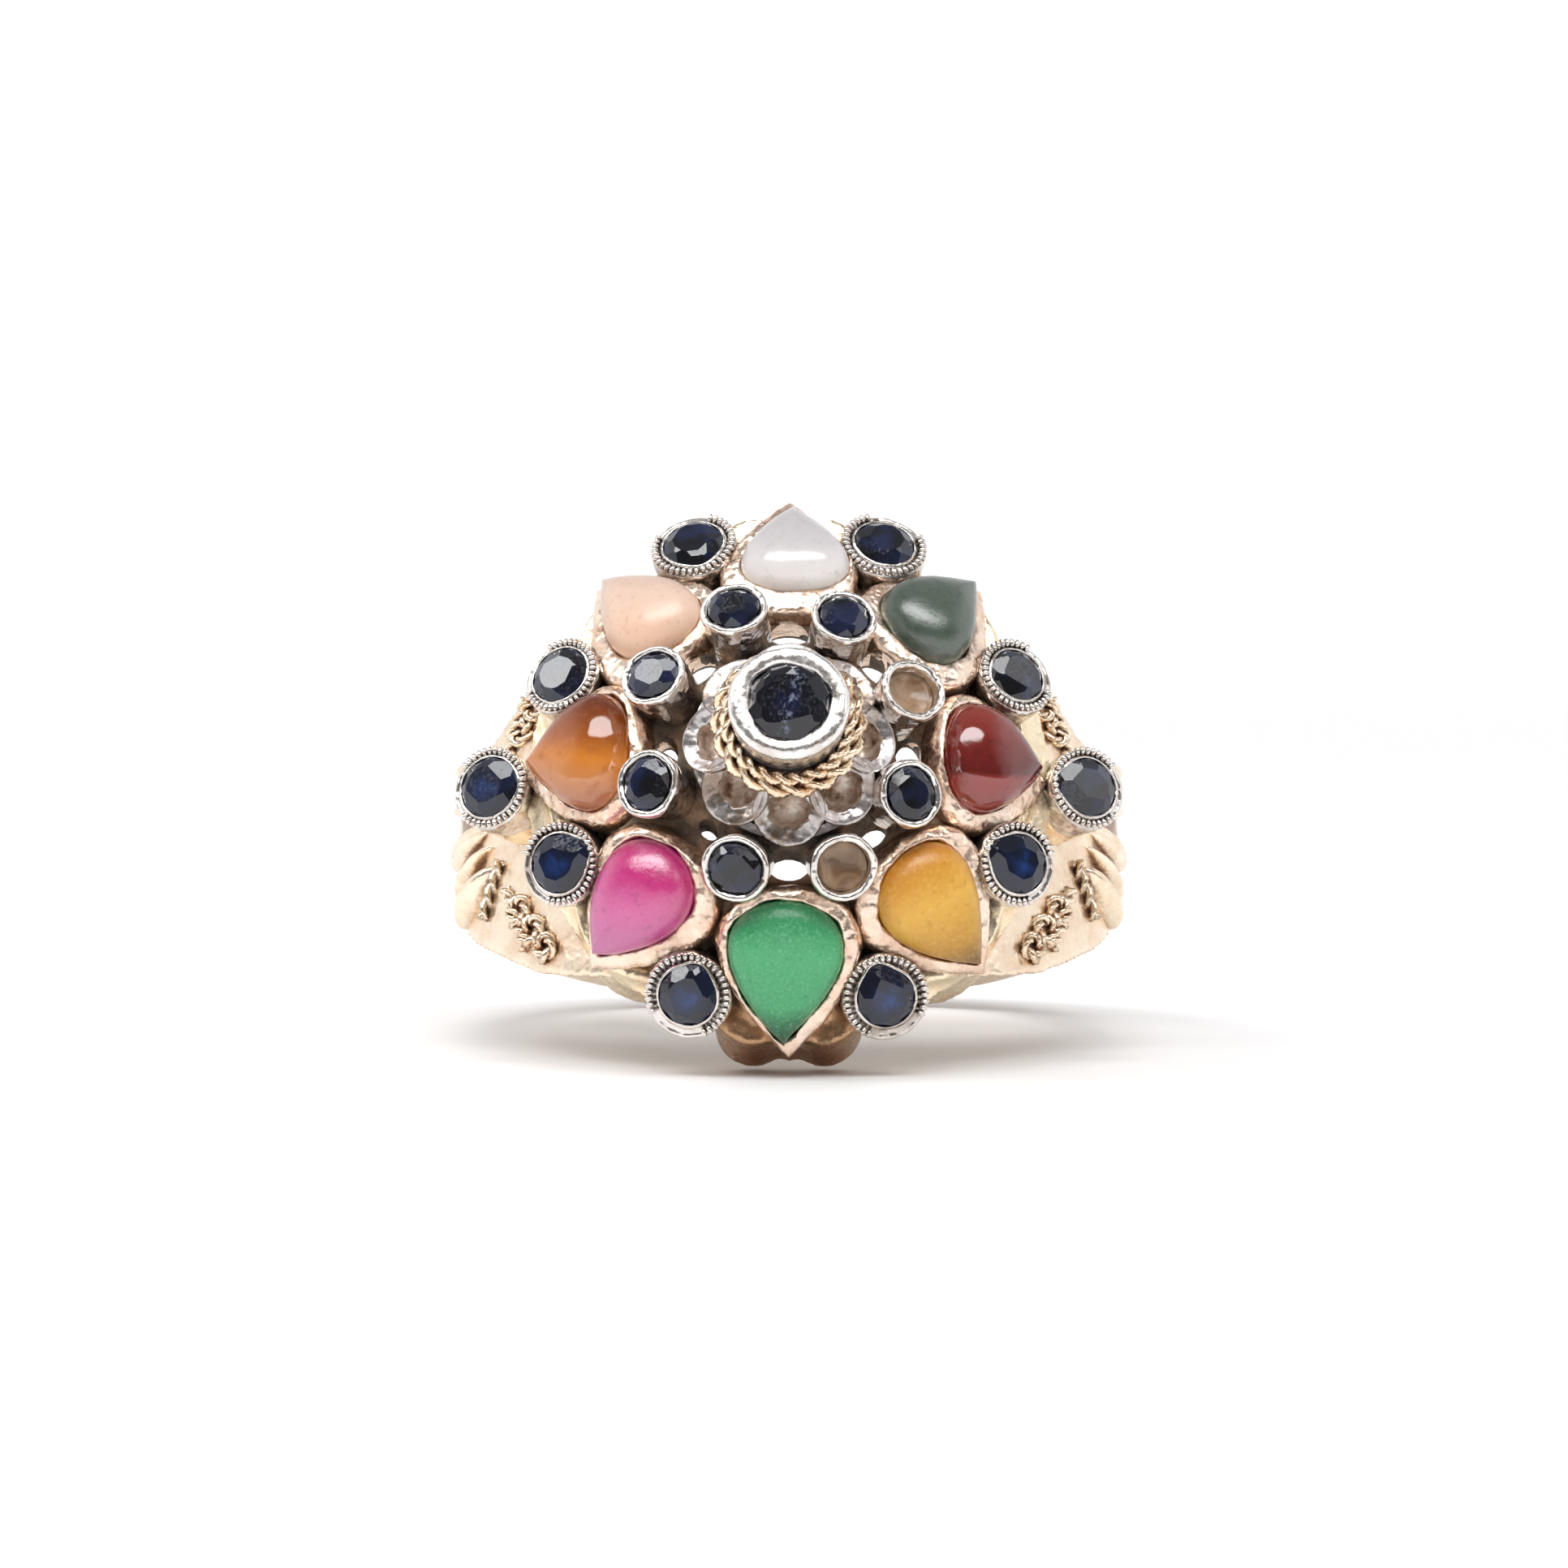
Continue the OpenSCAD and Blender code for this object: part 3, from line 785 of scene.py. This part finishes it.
def shown_spot(pear, turn, out):
    """A point of the stone's outline as it shows, that far out from it."""
    length, width, off_x, off_y = SHOWN[pear[0]][:4]
    swell = uneven(turn, PEARS.index(pear))
    x, y = pear_spot(length * swell + 2 * out, width * swell + 2 * out, turn)
    return x + off_x, y + off_y


rosy_gold = worn_metal("scraped_gold", (253, 230, 210), (230, 194, 170), (120, 88, 66), 0.85, 0.24, 0.0008)
for kind, pear in enumerate(PEARS):
    # A ring's radius less ten is its row in the list, until it is pressed into place
    rows = [(10 + row, ring[2]) for row, ring in enumerate(COLLET_RINGS)]
    collet = turned("collet_" + pear[0], rows, COLLET_SIDES)

    def wall(turn, radius):
        own, out, height = COLLET_RINGS[round(radius) - 10]
        chewed = (1 - own) * (0.03 * math.sin(7 * turn + kind) + 0.025 * math.sin(11 * turn + 2 * kind))
        x, y = pear_spot(pear[5] + 2 * out, pear[6] + 2 * out, turn)
        inner_x, inner_y = shown_spot(pear, turn, out + chewed)
        return x * own + inner_x * (1 - own), y * own + inner_y * (1 - own)

    press(collet, wall)
    collet.data.transform(on_crown(*pear[1:5]))
    smooth_over(collet)
    rough_up(collet, 0.5, 0.1)
    rough_up(collet, 0.22, 0.05)
    cut(collet, hollow(HOLLOW_SPARE))
    cut(collet, gaps())
    bpy.ops.object.shade_smooth_by_angle(angle=math.radians(50))
    hand_in(collet, rosy_gold, "gold", "mount")

# Cabochons
# Eight pear-shaped cabochons, each of another stone, cut by hand: a rounded top,
# steep sides, and a ridge that runs out to the tip. A thin dark line is round each.
STONE_SEAT = -1.06
DOME_STEPS = 17
# The colours run from this far below a stone's middle to as far above it
COLOUR_REACH = 2.4


def cabochon_finish(pear, look):
    """A polished stone whose colours, painted light and shade among them, run along a direction, with grain,
    flaws and depth.
    """
    material, tree, shader = new_material(pear[0] + "_stone")
    spot = spot_in_mm(tree, tuple(RESTING @ on_crown(*pear[1:5]) @ Vector((0, 0, 0))))
    cloud = noise(tree, spot, look["cloud"], 3.0, bend=0.4)
    # The colours change with height through the stone: painted light and shade and a painted reflection of
    # the table, over the stone's own colour
    along = vector_maths(tree, "DOT_PRODUCT", spot, look["run"])
    along = maths(tree, "MULTIPLY_ADD", maths(tree, "SUBTRACT", cloud, 0.5), look["drift"], along)
    place = spread(tree, along, -COLOUR_REACH, COLOUR_REACH)
    grain = noise(tree, spot, look["grain"], 4.0, 0.75)
    fleck = spread(tree, grain, 0.5, 0.75, 0.0, look["fleck"])
    colour = blend(tree, fleck, colour_ramp(tree, place, look["tones_and_painted_light"]), tint(*look["fleck_colour"]))
    dark = spread(tree, noise(tree, spot, look["grain"] * 0.55, 2.0), 0.42, 0.2, 0.0, 0.5)
    colour = blend(tree, dark, colour, tint(*look["deep"]))
    # Seen edge on there is more stone to look through
    edge = add_node(tree, "LayerWeight", {"Blend": 0.35}).outputs["Facing"]
    colour = blend(tree, spread(tree, edge, 0.25, 0.9, 0.0, look["edge"]), colour, tint(*look["deep"]))
    plug(shader, {"Base Color": colour, "Normal": bump(tree, look["pits"], 0.00004, grain)})
    plug(shader, {"Roughness": look["rough"], "IOR": look["ior"], "Subsurface Weight": look["milk"]})
    plug(shader, {"Subsurface Radius": (1.0, 0.8, 0.7), "Subsurface Scale": 0.0006})
    return material


UPWARD = (0, 0.1, 1)
# Each ramp holds painted light and shade as well as the stone's own colour: the white, peach, orange and red
# are painted lighter lower down, as a reflection of the table
LOOKS = {
    "white": dict(
        run=UPWARD, cloud=0.5, drift=0.6, grain=6.0, fleck=0.1, fleck_colour=(226, 224, 226),
        deep=(180, 176, 180), pits=0.1, rough=0.14, edge=0.1, ior=1.6, milk=0.5,
        tones_and_painted_light=[
            (0.1, (255, 253, 251)), (0.35, (242, 237, 235)), (0.6, (206, 202, 203)), (0.9, (190, 187, 189)),
        ],
    ),
    "grey_green": dict(
        run=UPWARD, cloud=0.6, drift=0.8, grain=7.0, fleck=0.3, fleck_colour=(112, 126, 114),
        deep=(46, 60, 48), pits=0.3, rough=0.19, edge=0.4, ior=1.8, milk=0.1,
        tones_and_painted_light=[(0.1, (92, 102, 90)), (0.4, (74, 87, 76)), (0.7, (78, 90, 80)), (0.95, (118, 124, 116))],
    ),
    "red": dict(
        run=UPWARD, cloud=0.5, drift=0.5, grain=5.0, fleck=0.12, fleck_colour=(150, 56, 46), deep=(60, 10, 8),
        pits=0.05, rough=0.08, edge=0.5, ior=1.8, milk=0.1,
        tones_and_painted_light=[
            # The step from lighter to darker red between 0.42 and 0.47 is a painted reflection of the table's
            # horizon
            (0.1, (146, 60, 54)), (0.42, (142, 54, 48)), (0.47, (92, 22, 18)), (0.7, (116, 36, 30)),
            (0.95, (146, 58, 48)),
        ],
    ),
    "yellow": dict(
        run=(-0.5, 0.1, 0.86), cloud=0.7, drift=0.7, grain=6.0, fleck=0.5, fleck_colour=(244, 200, 110),
        deep=(176, 118, 40), pits=0.45, rough=0.27, edge=0.5, ior=1.55, milk=0.25,
        tones_and_painted_light=[
            (0.0, (74, 40, 22)), (0.1, (130, 100, 50)), (0.22, (196, 144, 56)), (0.55, (226, 174, 72)),
            (0.95, (196, 124, 44)),
        ],
    ),
    "green": dict(
        run=UPWARD, cloud=0.8, drift=0.7, grain=9.0, fleck=0.55, fleck_colour=(134, 210, 160),
        deep=(34, 110, 68), pits=0.4, rough=0.2, edge=0.7, ior=1.55, milk=0.15,
        tones_and_painted_light=[
            (0.0, (14, 54, 38)), (0.1, (28, 90, 60)), (0.24, (72, 160, 106)), (0.6, (78, 168, 112)),
            (1.0, (50, 130, 84)),
        ],
    ),
    "pink": dict(
        run=(0.35, 0.1, 0.9), cloud=0.6, drift=0.6, grain=6.0, fleck=0.25, fleck_colour=(214, 116, 170),
        deep=(140, 20, 84), pits=0.5, rough=0.17, edge=0.3, ior=2.1, milk=0.2,
        tones_and_painted_light=[
            (0.0, (130, 76, 104)), (0.14, (196, 92, 156)), (0.45, (208, 76, 148)), (0.75, (200, 40, 120)),
            (1.0, (188, 52, 118)),
        ],
    ),
    "orange": dict(
        run=(0.1, 0.1, 0.95), cloud=0.5, drift=0.5, grain=4.0, fleck=0.1, fleck_colour=(230, 180, 120),
        deep=(150, 70, 30), pits=0.05, rough=0.07, edge=0.4, ior=1.7, milk=0.15,
        tones_and_painted_light=[
            (0.1, (140, 58, 30)), (0.2, (184, 122, 90)), (0.36, (198, 130, 80)), (0.52, (208, 126, 50)),
            (0.66, (160, 86, 34)), (0.9, (108, 50, 28)),
        ],
    ),
    "peach": dict(
        run=UPWARD, cloud=0.7, drift=0.7, grain=9.0, fleck=0.3, fleck_colour=(224, 198, 180),
        deep=(200, 156, 128), pits=0.3, rough=0.18, edge=0.3, ior=1.55, milk=0.35,
        tones_and_painted_light=[
            (0.1, (240, 196, 162)), (0.4, (240, 202, 176)), (0.7, (236, 206, 188)), (0.95, (204, 180, 168)),
        ],
    ),
}

cabochons = []
for pear in PEARS:
    dome, top, side = SHOWN[pear[0]][4:]
    rings = [(0.95, STONE_SEAT), (0.99, 0.0)]
    for step in range(1, DOME_STEPS):
        rise = math.radians(88 * step / (DOME_STEPS - 1))
        rings.append((0.99 * math.cos(rise) ** top, dome * math.sin(rise) ** side))
    stone = turned("stone_" + pear[0], rings, 64)

    def outline(turn, share):
        x, y = shown_spot(pear, turn, 0)
        off_x, off_y = SHOWN[pear[0]][2:4]
        return (x - off_x) * share + off_x, (y - off_y) * share + off_y

    press(stone, outline)
    stone.data.transform(on_crown(*pear[1:5]))
    smooth_over(stone)
    rough_up(stone, 1.4, 0.06)
    bpy.ops.object.shade_smooth()
    hand_in(stone, cabochon_finish(pear, LOOKS[pear[0]]), pear[0] + "_stone", "cabochon_" + pear[0])
    cabochons.append(stone)
# Each dome shows one soft highlight, the front softbox's: the side lights miss them
for light in side_lights:
    missed = bpy.data.collections.new(light.name + "_misses")
    light.light_linking.receiver_collection = missed
    for stone in cabochons:
        missed.objects.link(stone)
    for entry in missed.collection_objects:
        entry.light_linking.link_state = "EXCLUDE"

# Outer collets
# Ten round silver collets with a row of milgrain beads inside the rim and a
# burnished ledge that slopes to the stone. Tarnished in the corners, and darkened there with painted shade.
BEAD_SIZE = (0.15, 0.092, 0.13)
BEADS = 30
BEADED_TURN = math.radians(270)


def point_out(turn, stone, point):
    """Reach of a small pear outline whose tip is turned to the crown's axis."""
    off = turn % (2 * math.pi) - math.pi
    return stone * (1 - 0.05 * point + 0.24 * point * math.exp(-((off / 0.42) ** 2)))


dark_silver = worn_metal(
    "dark_silver", (236, 230, 224), (172, 160, 150), (56, 44, 36), 0.96, 0.17, 0.0009, rubbed=0.5
)
for kind, (turn, reach, height, lean, stone, radius, point) in enumerate(OUTER_ROUNDS):
    rings = [
        (radius * 0.8, -3.0), (radius * 0.97, -0.8), (radius, -0.3), (radius - 0.02, -0.15),
        (radius - 0.08, -0.08), (radius - 0.14, -0.08), (radius - 0.2, -0.1),
        (stone + 0.13, -0.07), (stone + 0.08, 0.05), (stone + 0.01, 0.1), (stone - 0.03, 0.07),
        (stone, -0.1), (stone - 0.02, -1.1),
    ]
    collet = turned(f"collet_outer_{kind + 1}", rings, 64)

    # Round at its rim, and towards the stone it follows the stone
    def lip(turn, around):
        follow = min(1, max(0, (radius - 0.12 - around) / (radius - 0.26 - stone + 1e-6)))
        fitted = point_out(turn, stone, point) + (around - stone) * uneven(turn, kind) ** 4
        out = around * (1 - follow) + fitted * follow
        return out * math.cos(turn), out * math.sin(turn)

    press(collet, lip)
    smooth_over(collet)
    rough_up(collet, 0.5, 0.06)
    beads = blank("beads")
    bpy.ops.mesh.primitive_ico_sphere_add(subdivisions=2, radius=1, location=(0, 0, 0))
    bpy.ops.transform.resize(value=BEAD_SIZE)
    bpy.ops.transform.translate(value=(radius - 0.15, 0, 0.03))
    bpy.ops.transform.rotate(value=-BEADED_TURN / 2 - math.pi, orient_axis="Z", center_override=(0, 0, 0))
    bpy.ops.mesh.spin(steps=BEADS - 1, dupli=True, angle=BEADED_TURN, center=(0, 0, 0), axis=(0, 0, 1))
    bpy.ops.object.mode_set(mode="OBJECT")
    collet = join(collet.name, [collet, beads])
    collet.data.transform(on_crown(turn, reach, height, lean))
    bpy.ops.object.shade_smooth()
    hand_in(collet, dark_silver, "silver", "mount")

# Sapphires
# Small dark blue sapphires, cut by hand with a table, eight main facets, eight star
# facets and more at the edge. No two facets are quite at the same slope.
FACETS = 8
EDGE_FLATS = 14
MAIN_SLOPE = 35
STAR_SLOPE = 24
EDGE_SLOPE = 47
UNDER_SLOPE = 138
STAR_SHARE = 0.6
CROWN_SHARE = 0.34
BLUE_ONES = (5, 6, 7, 8, 9)


def sapphire_finish(name, body, blue, middle=None, flaw=None):
    """Near-black stone, blue deep in its middle as a painted glow, with worn facets and perhaps a flaw
    across.
    """
    material, tree, shader = new_material(name)
    spot = spot_in_mm(tree, tuple(middle or (0, 0, 0)))
    # The blue patches are painted light glowing from within, over the stone's own dark blue; with a middle
    # given, they are strongest there
    glow = noise(tree, spot, 1.1, 2.0, bend=0.6)
    share = spread(tree, glow, 0.42, 0.66)
    if middle:
        deep = spread(tree, vector_maths(tree, "LENGTH", spot), 0.05, 0.8, 1.0, 0.1, soft=True)
        share = maths(tree, "MULTIPLY", deep, spread(tree, share, 0.0, 1.0, 0.2, 1.0))
    colour = blend(tree, share, tint(*body), tint(*blue))
    if flaw:
        across = vector_maths(tree, "DOT_PRODUCT", spot, (0.9, 0, -0.25))
        wander = maths(tree, "MULTIPLY_ADD", glow, 0.9, across)
        wander = maths(tree, "ABSOLUTE", maths(tree, "SUBTRACT", wander, 0.5))
        bits = spread(tree, noise(tree, spot, 4.5, 4.0, 0.7), 0.48, 0.62)
        streak = maths(tree, "MULTIPLY", spread(tree, wander, 0.02, 0.24, 0.9, 0.0), bits)
        colour = blend(tree, streak, colour, tint(*flaw))
    scratched = spread(tree, noise(tree, spot, 9.0, 3.0), 0.4, 0.75, 0.04, 0.22)
    plug(shader, {"Base Color": colour, "Roughness": scratched, "IOR": 1.68})
    return material


def cut_stone(name, edge, size, seed, start=0.0):
    """A faceted stone sawn from a block, flat by flat; edge(turn) is its reach there."""
    hand = random.Random(seed)
    stone = blank(name)
    bpy.ops.mesh.primitive_cylinder_add(vertices=24, radius=size * 2, depth=size * 4)

    def saw(turn, tilt, out, height):
        slope = math.radians(tilt)
        facing = (math.cos(turn) * math.sin(slope), math.sin(turn) * math.sin(slope), math.cos(slope))
        spot = (out * math.cos(turn), out * math.sin(turn), height)
        bpy.ops.mesh.select_all(action="SELECT")
        bpy.ops.mesh.bisect(plane_co=spot, plane_no=facing, use_fill=True, clear_outer=True)

    def widest(turn):
        return max(edge(turn + off * 0.05) * math.cos(off * 0.05) for off in range(-24, 25))

    for side in range(EDGE_FLATS):
        turn = 2 * math.pi * side / EDGE_FLATS
        saw(turn, 90, widest(turn), 0)
    for side in range(FACETS):
        turn = start + 2 * math.pi * (side + hand.uniform(-0.1, 0.1)) / FACETS
        saw(turn, MAIN_SLOPE + hand.uniform(-6, 6), widest(turn), 0.05 * size)
        turn += math.pi / FACETS
        saw(turn, STAR_SLOPE + hand.uniform(-4, 4), STAR_SHARE * widest(turn), CROWN_SHARE * size * 0.99)
        saw(turn, UNDER_SLOPE, widest(turn), -0.08 * size)
        saw(turn, EDGE_SLOPE + hand.uniform(-2, 2), widest(turn), 0.0)
    saw(hand.uniform(0, 6), hand.uniform(0, 1.5), 0, CROWN_SHARE * size)
    bpy.ops.mesh.select_all(action="SELECT")
    bpy.ops.mesh.remove_doubles(threshold=0.004)
    bpy.ops.mesh.normals_make_consistent(inside=False)
    bpy.ops.object.mode_set(mode="OBJECT")
    return stone


dark_sapphire = sapphire_finish("dark_sapphire", (10, 12, 20), (24, 32, 58))
for kind, (turn, reach, height, lean, size, radius, point) in enumerate(OUTER_ROUNDS):
    name = f"sapphire_outer_{kind + 1}"
    stone = cut_stone(f"stone_outer_{kind + 1}", lambda a: point_out(a, size, point), size, kind)
    place = on_crown(turn, reach, height, lean)
    stone.data.transform(place)
    finish = dark_sapphire
    if kind + 1 in BLUE_ONES:
        glow_spot = (RESTING @ place).translation
        finish = sapphire_finish("blue_" + name, (10, 13, 27), (36, 68, 132), glow_spot)
    hand_in(stone, finish, "sapphire", name)

# Inner collets
# Eight tall silver tubes with a thin bright rim, round the flower. Two have lost
# their stones: only old cement is left on their floors.
INNER_RINGS = [
    (INNER_R * 0.78, -3.0), (INNER_R * 0.93, -0.9), (INNER_R * 0.99, -0.25), (INNER_R, -0.05),
    (INNER_R - 0.05, 0.06), (INNER_R - 0.14, 0.08), (INNER_R - 0.23, 0.04),
    (INNER_STONE_R, -0.06), (INNER_STONE_R, -1.1),
]
CEMENT_RINGS = [(0.8, -1.0), (0.84, -0.38), (0.7, -0.46), (0.45, -0.56), (0.2, -0.61), (0.02, -0.62)]
cement, tree, shader = new_material("old_cement")
streak = noise(tree, spot_in_mm(tree), 1.1, 4.0, bend=0.8)
streak = colour_ramp(tree, streak, [(0.35, (112, 84, 62)), (0.7, (178, 150, 122))])
plug(shader, {"Base Color": streak, "Roughness": 0.22})
silver = worn_metal("worn_silver", (242, 237, 232), (200, 191, 183), (64, 52, 43), 0.92, 0.15, 0.0005)
for kind, (name, (turn, reach)) in enumerate(INNER_ROUNDS.items()):
    place = on_crown(turn, reach, INNER_Z, INNER_LEAN)
    collet = turned(name.replace("sapphire", "collet").replace("empty", "collet_empty"), INNER_RINGS, 48)

    def wobble(turn, around):
        out = around * (1 + 0.02 * math.sin(2 * turn + kind) + 0.01 * math.sin(5 * turn + 2 * kind))
        return out * math.cos(turn), out * math.sin(turn)

    press(collet, wobble)
    smooth_over(collet)
    rough_up(collet, 0.45, 0.06)
    bpy.ops.object.shade_smooth()
    collet.data.transform(place)
    hand_in(collet, silver, "silver", "mount")
    if name.startswith("empty"):
        bed = turned(name.replace("empty", "cement"), CEMENT_RINGS, 48)
        rough_up(bed, 0.7, 0.06)
        bpy.ops.object.shade_smooth()
        bed.data.transform(place)
        hand_in(bed, cement, "gold", "mount")
    else:
        stone = cut_stone(
            name.replace("sapphire", "stone"),
            lambda a: INNER_STONE_R * (1 + 0.05 * math.sin(2 * a + kind)),
            INNER_STONE_R,
            40 + kind,
        )
        stone.data.transform(place)
        hand_in(stone, dark_sapphire, "sapphire", name)

# Flower
# A silver flower of eight cupped petals, pierced in the middle of each, cast in one
# with the post of the centre stone. Its inner sides are brown with age.
PETAL_REACH = 2.6
PETAL_Z = 16.6
PETAL_LEAN = 35
PETAL_R = 1.24
POST_R = 1.7
POST_Z = 14.3
COLLAR_Z = 17.7
COLLAR_R = 2.2
# turn, length and width of the hole, its way out from the petal's middle
PETAL_HOLES = [
    (0, 0.78, 0.82, 0.06),
    (45, 0.8, 0.8, 0.06),
    (90, 0.8, 0.8, 0.05),
    (135, 0.78, 0.8, 0.0),
    (180, 0.82, 0.84, 0.0),
    (225, 0.78, 0.8, -0.12),
    (270, 0.76, 0.82, -0.02),
    (315, 0.82, 0.84, 0.04),
]
# a petal's rings: radius, height, and how far they follow the hole's outline
PETAL_RINGS = [
    (0.7, -2.2, 0), (0.95, -1.2, 0), (1.14, -0.5, 0), (PETAL_R - 0.01, -0.12, 0),
    (PETAL_R - 0.02, -0.02, 0), (PETAL_R - 0.1, 0.01, 0), (1.03, -0.06, 0.2), (0.94, -0.15, 0.7),
    (0.9, -0.17, 1), (0.87, -0.22, 1), (0.85, -0.5, 1), (0.8, -0.85, 1), (0.45, -1.0, 1), (0.05, -1.02, 1),
]
# The ring that the petals' backs are joined by: radius, height
FLOWER_RING = [(3.0, 15.0), (3.27, 15.4), (3.3, 15.78), (3.03, 15.87), (2.95, 15.6), (2.9, 15.1)]
petals = []
for kind, (petal_turn, length, width, shift) in enumerate(PETAL_HOLES):
    petal = turned("petal", [(10 + row, ring[1]) for row, ring in enumerate(PETAL_RINGS)], 48)

    def dish(turn, ring):
        radius, height, follow = PETAL_RINGS[round(ring) - 10]
        torn = 0.05 * math.sin(5 * turn + kind) + 0.04 * math.sin(9 * turn + 2 * kind)
        torn += 0.03 * math.sin(14 * turn + 3 * kind)
        hole_x = shift + radius * length * (1 + torn) * math.cos(turn)
        hole_y = radius * width * (1 + torn) * math.sin(turn)
        x = radius * math.cos(turn) * (1 - follow) + hole_x * follow
        y = radius * math.sin(turn) * (1 - follow) + hole_y * follow
        return x, y

    press(petal, dish)
    smooth_over(petal)
    rough_up(petal, 0.5, 0.07)
    petal.data.transform(on_crown(petal_turn, PETAL_REACH, PETAL_Z, PETAL_LEAN))
    petals.append(petal)
post = blank("post")
turn_up([(POST_R, POST_Z), (POST_R, COLLAR_Z - 0.5), (COLLAR_R, COLLAR_Z), (COLLAR_R, COLLAR_Z + 0.35)], 64)
turn_up(FLOWER_RING, 64)
bpy.ops.object.mode_set(mode="OBJECT")
flower = join("flower", petals + [post])
bpy.ops.object.shade_smooth_by_angle(angle=math.radians(60))
flower_silver = worn_metal(
    "flower_silver", (204, 199, 199), (150, 132, 118), (88, 64, 48), 0.97, 0.27, 0.0008, dents=0.5
)


def in_cup(point):
    """Whether a point lies in one of the petals' holes."""
    for turn, length, width, shift in PETAL_HOLES:
        spot = on_crown(turn, PETAL_REACH, PETAL_Z, PETAL_LEAN).inverted() @ point
        if -1.1 < spot.z < -0.22 and math.hypot((spot.x - shift) / length, spot.y / width) < 0.97:
            return True
    return False


cup_faces = [face.index for face in flower.data.polygons if in_cup(face.center)]
hand_in(flower, flower_silver, "silver", "mount")
cup_brown, tree, shader = new_material("cup_brown")
patina = noise(tree, spot_in_mm(tree), 1.2, 5.0, 0.65)
cup_colours = [(0.36, (112, 84, 64)), (0.46, (186, 162, 144)), (0.62, (240, 228, 216))]
patina = colour_ramp(tree, patina, cup_colours)
plug(shader, {"Base Color": patina, "Roughness": 0.42, "Metallic": 0.5})
flower.data.materials.append(cup_brown)
for index in cup_faces:
    flower.data.polygons[index].material_index = 1

# Rope ring
# Gold wires twisted as a rope and closed to a ring, and a thinner such ring inside
# it, laid round the foot of the centre collet.
ROPE_RING_R = 2.3
ROPE_STRAND = 0.2
ROPE_OFF = 0.17
ROPE_Z = COLLAR_Z + 0.45
ROPE_TWIST = 1.6
ROPE_POINTS = 96
INNER_ROPE_SHARE = 0.9
INNER_ROPE_LIFT = 0.38
INNER_ROPE_STRAND = 0.15
INNER_ROPE_OFF = 0.12
INNER_ROPE_TWIST = 1.05
rope_route = []
for step in range(ROPE_POINTS):
    turn = 2 * math.pi * step / ROPE_POINTS
    lift = 0.05 * math.sin(2 * turn + 1)
    rope_route.append(Vector((ROPE_RING_R * math.cos(turn), ROPE_RING_R * math.sin(turn), ROPE_Z + lift)))
inner_route = [Vector((*(spot.xy * INNER_ROPE_SHARE), spot.z + INNER_ROPE_LIFT)) for spot in rope_route]
ropes = [
    twisted_wire("outer_rope", rope_route, ROPE_STRAND, ROPE_OFF, ROPE_TWIST, closed=True),
    twisted_wire("inner_rope", inner_route, INNER_ROPE_STRAND, INNER_ROPE_OFF, INNER_ROPE_TWIST, closed=True),
]
rope = join("rope_ring", ropes)
wire_gold = worn_metal(
    "wire_gold", (255, 235, 207), (238, 204, 170), (124, 82, 58), 0.9, 0.16, 0.0005, dents=0.3, rubbed=0
)
hand_in(rope, wire_gold, "gold", "mount")

# Centre collet
# A thick silver tube with a bright rounded rim, pushed over the stone by hand so
# that its inner edge is uneven.
CENTRE_Z = 20.4
CENTRE_R = 2.03
CENTRE_H = 2.3
CENTRE_STONE_R = 1.45
CENTRE_STONE_SUNK = 0.16
CENTRE_RINGS = [
    (CENTRE_R * 0.9, -CENTRE_H), (CENTRE_R * 0.93, -1.2), (CENTRE_R * 0.99, -0.45), (CENTRE_R, -0.2),
    (CENTRE_R - 0.05, -0.02), (CENTRE_R - 0.16, 0.08), (CENTRE_R - 0.32, 0.12), (CENTRE_STONE_R, 0.08),
    (CENTRE_STONE_R - 0.1, 0.0), (CENTRE_STONE_R - 0.12, -0.08), (CENTRE_STONE_R, -0.2),
    (CENTRE_STONE_R, -1.25),
]


def centre_lip(turn, around):
    """The centre collet's outline: a little wider across, and chewed along the lip."""
    near = max(0, 1 - (around - CENTRE_STONE_R) / 0.3)
    out = around + near * (0.03 * math.sin(3 * turn + 1) + 0.015 * math.sin(8 * turn))
    return out * math.cos(turn) * 1.01, out * math.sin(turn) * 0.97


centre = turned("collet_centre", CENTRE_RINGS, 80)
press(centre, centre_lip)
smooth_over(centre)
rough_up(centre, 0.7, 0.05)
bpy.ops.object.shade_smooth()
centre.data.transform(Matrix.Translation((0, 0, CENTRE_Z)))
bright_silver = worn_metal(
    "bright_silver", (246, 242, 238), (214, 205, 198), (80, 66, 55), 0.9, 0.23, 0.0005, dents=0.35
)
hand_in(centre, bright_silver, "silver", "mount")
stone = cut_stone(
    "stone_centre",
    lambda a: CENTRE_STONE_R * (1 + 0.02 * math.sin(2 * a)),
    CENTRE_STONE_R,
    77,
    math.radians(20),
)
stone.data.transform(Matrix.Translation((0, 0, CENTRE_Z - CENTRE_STONE_SUNK)))
centre_spot = RESTING @ Vector((0, 0, CENTRE_Z))
flawed = sapphire_finish("flawed_sapphire", (9, 11, 20), (22, 32, 70), centre_spot, (112, 120, 142))
hand_in(stone, flawed, "sapphire", "sapphire_centre")
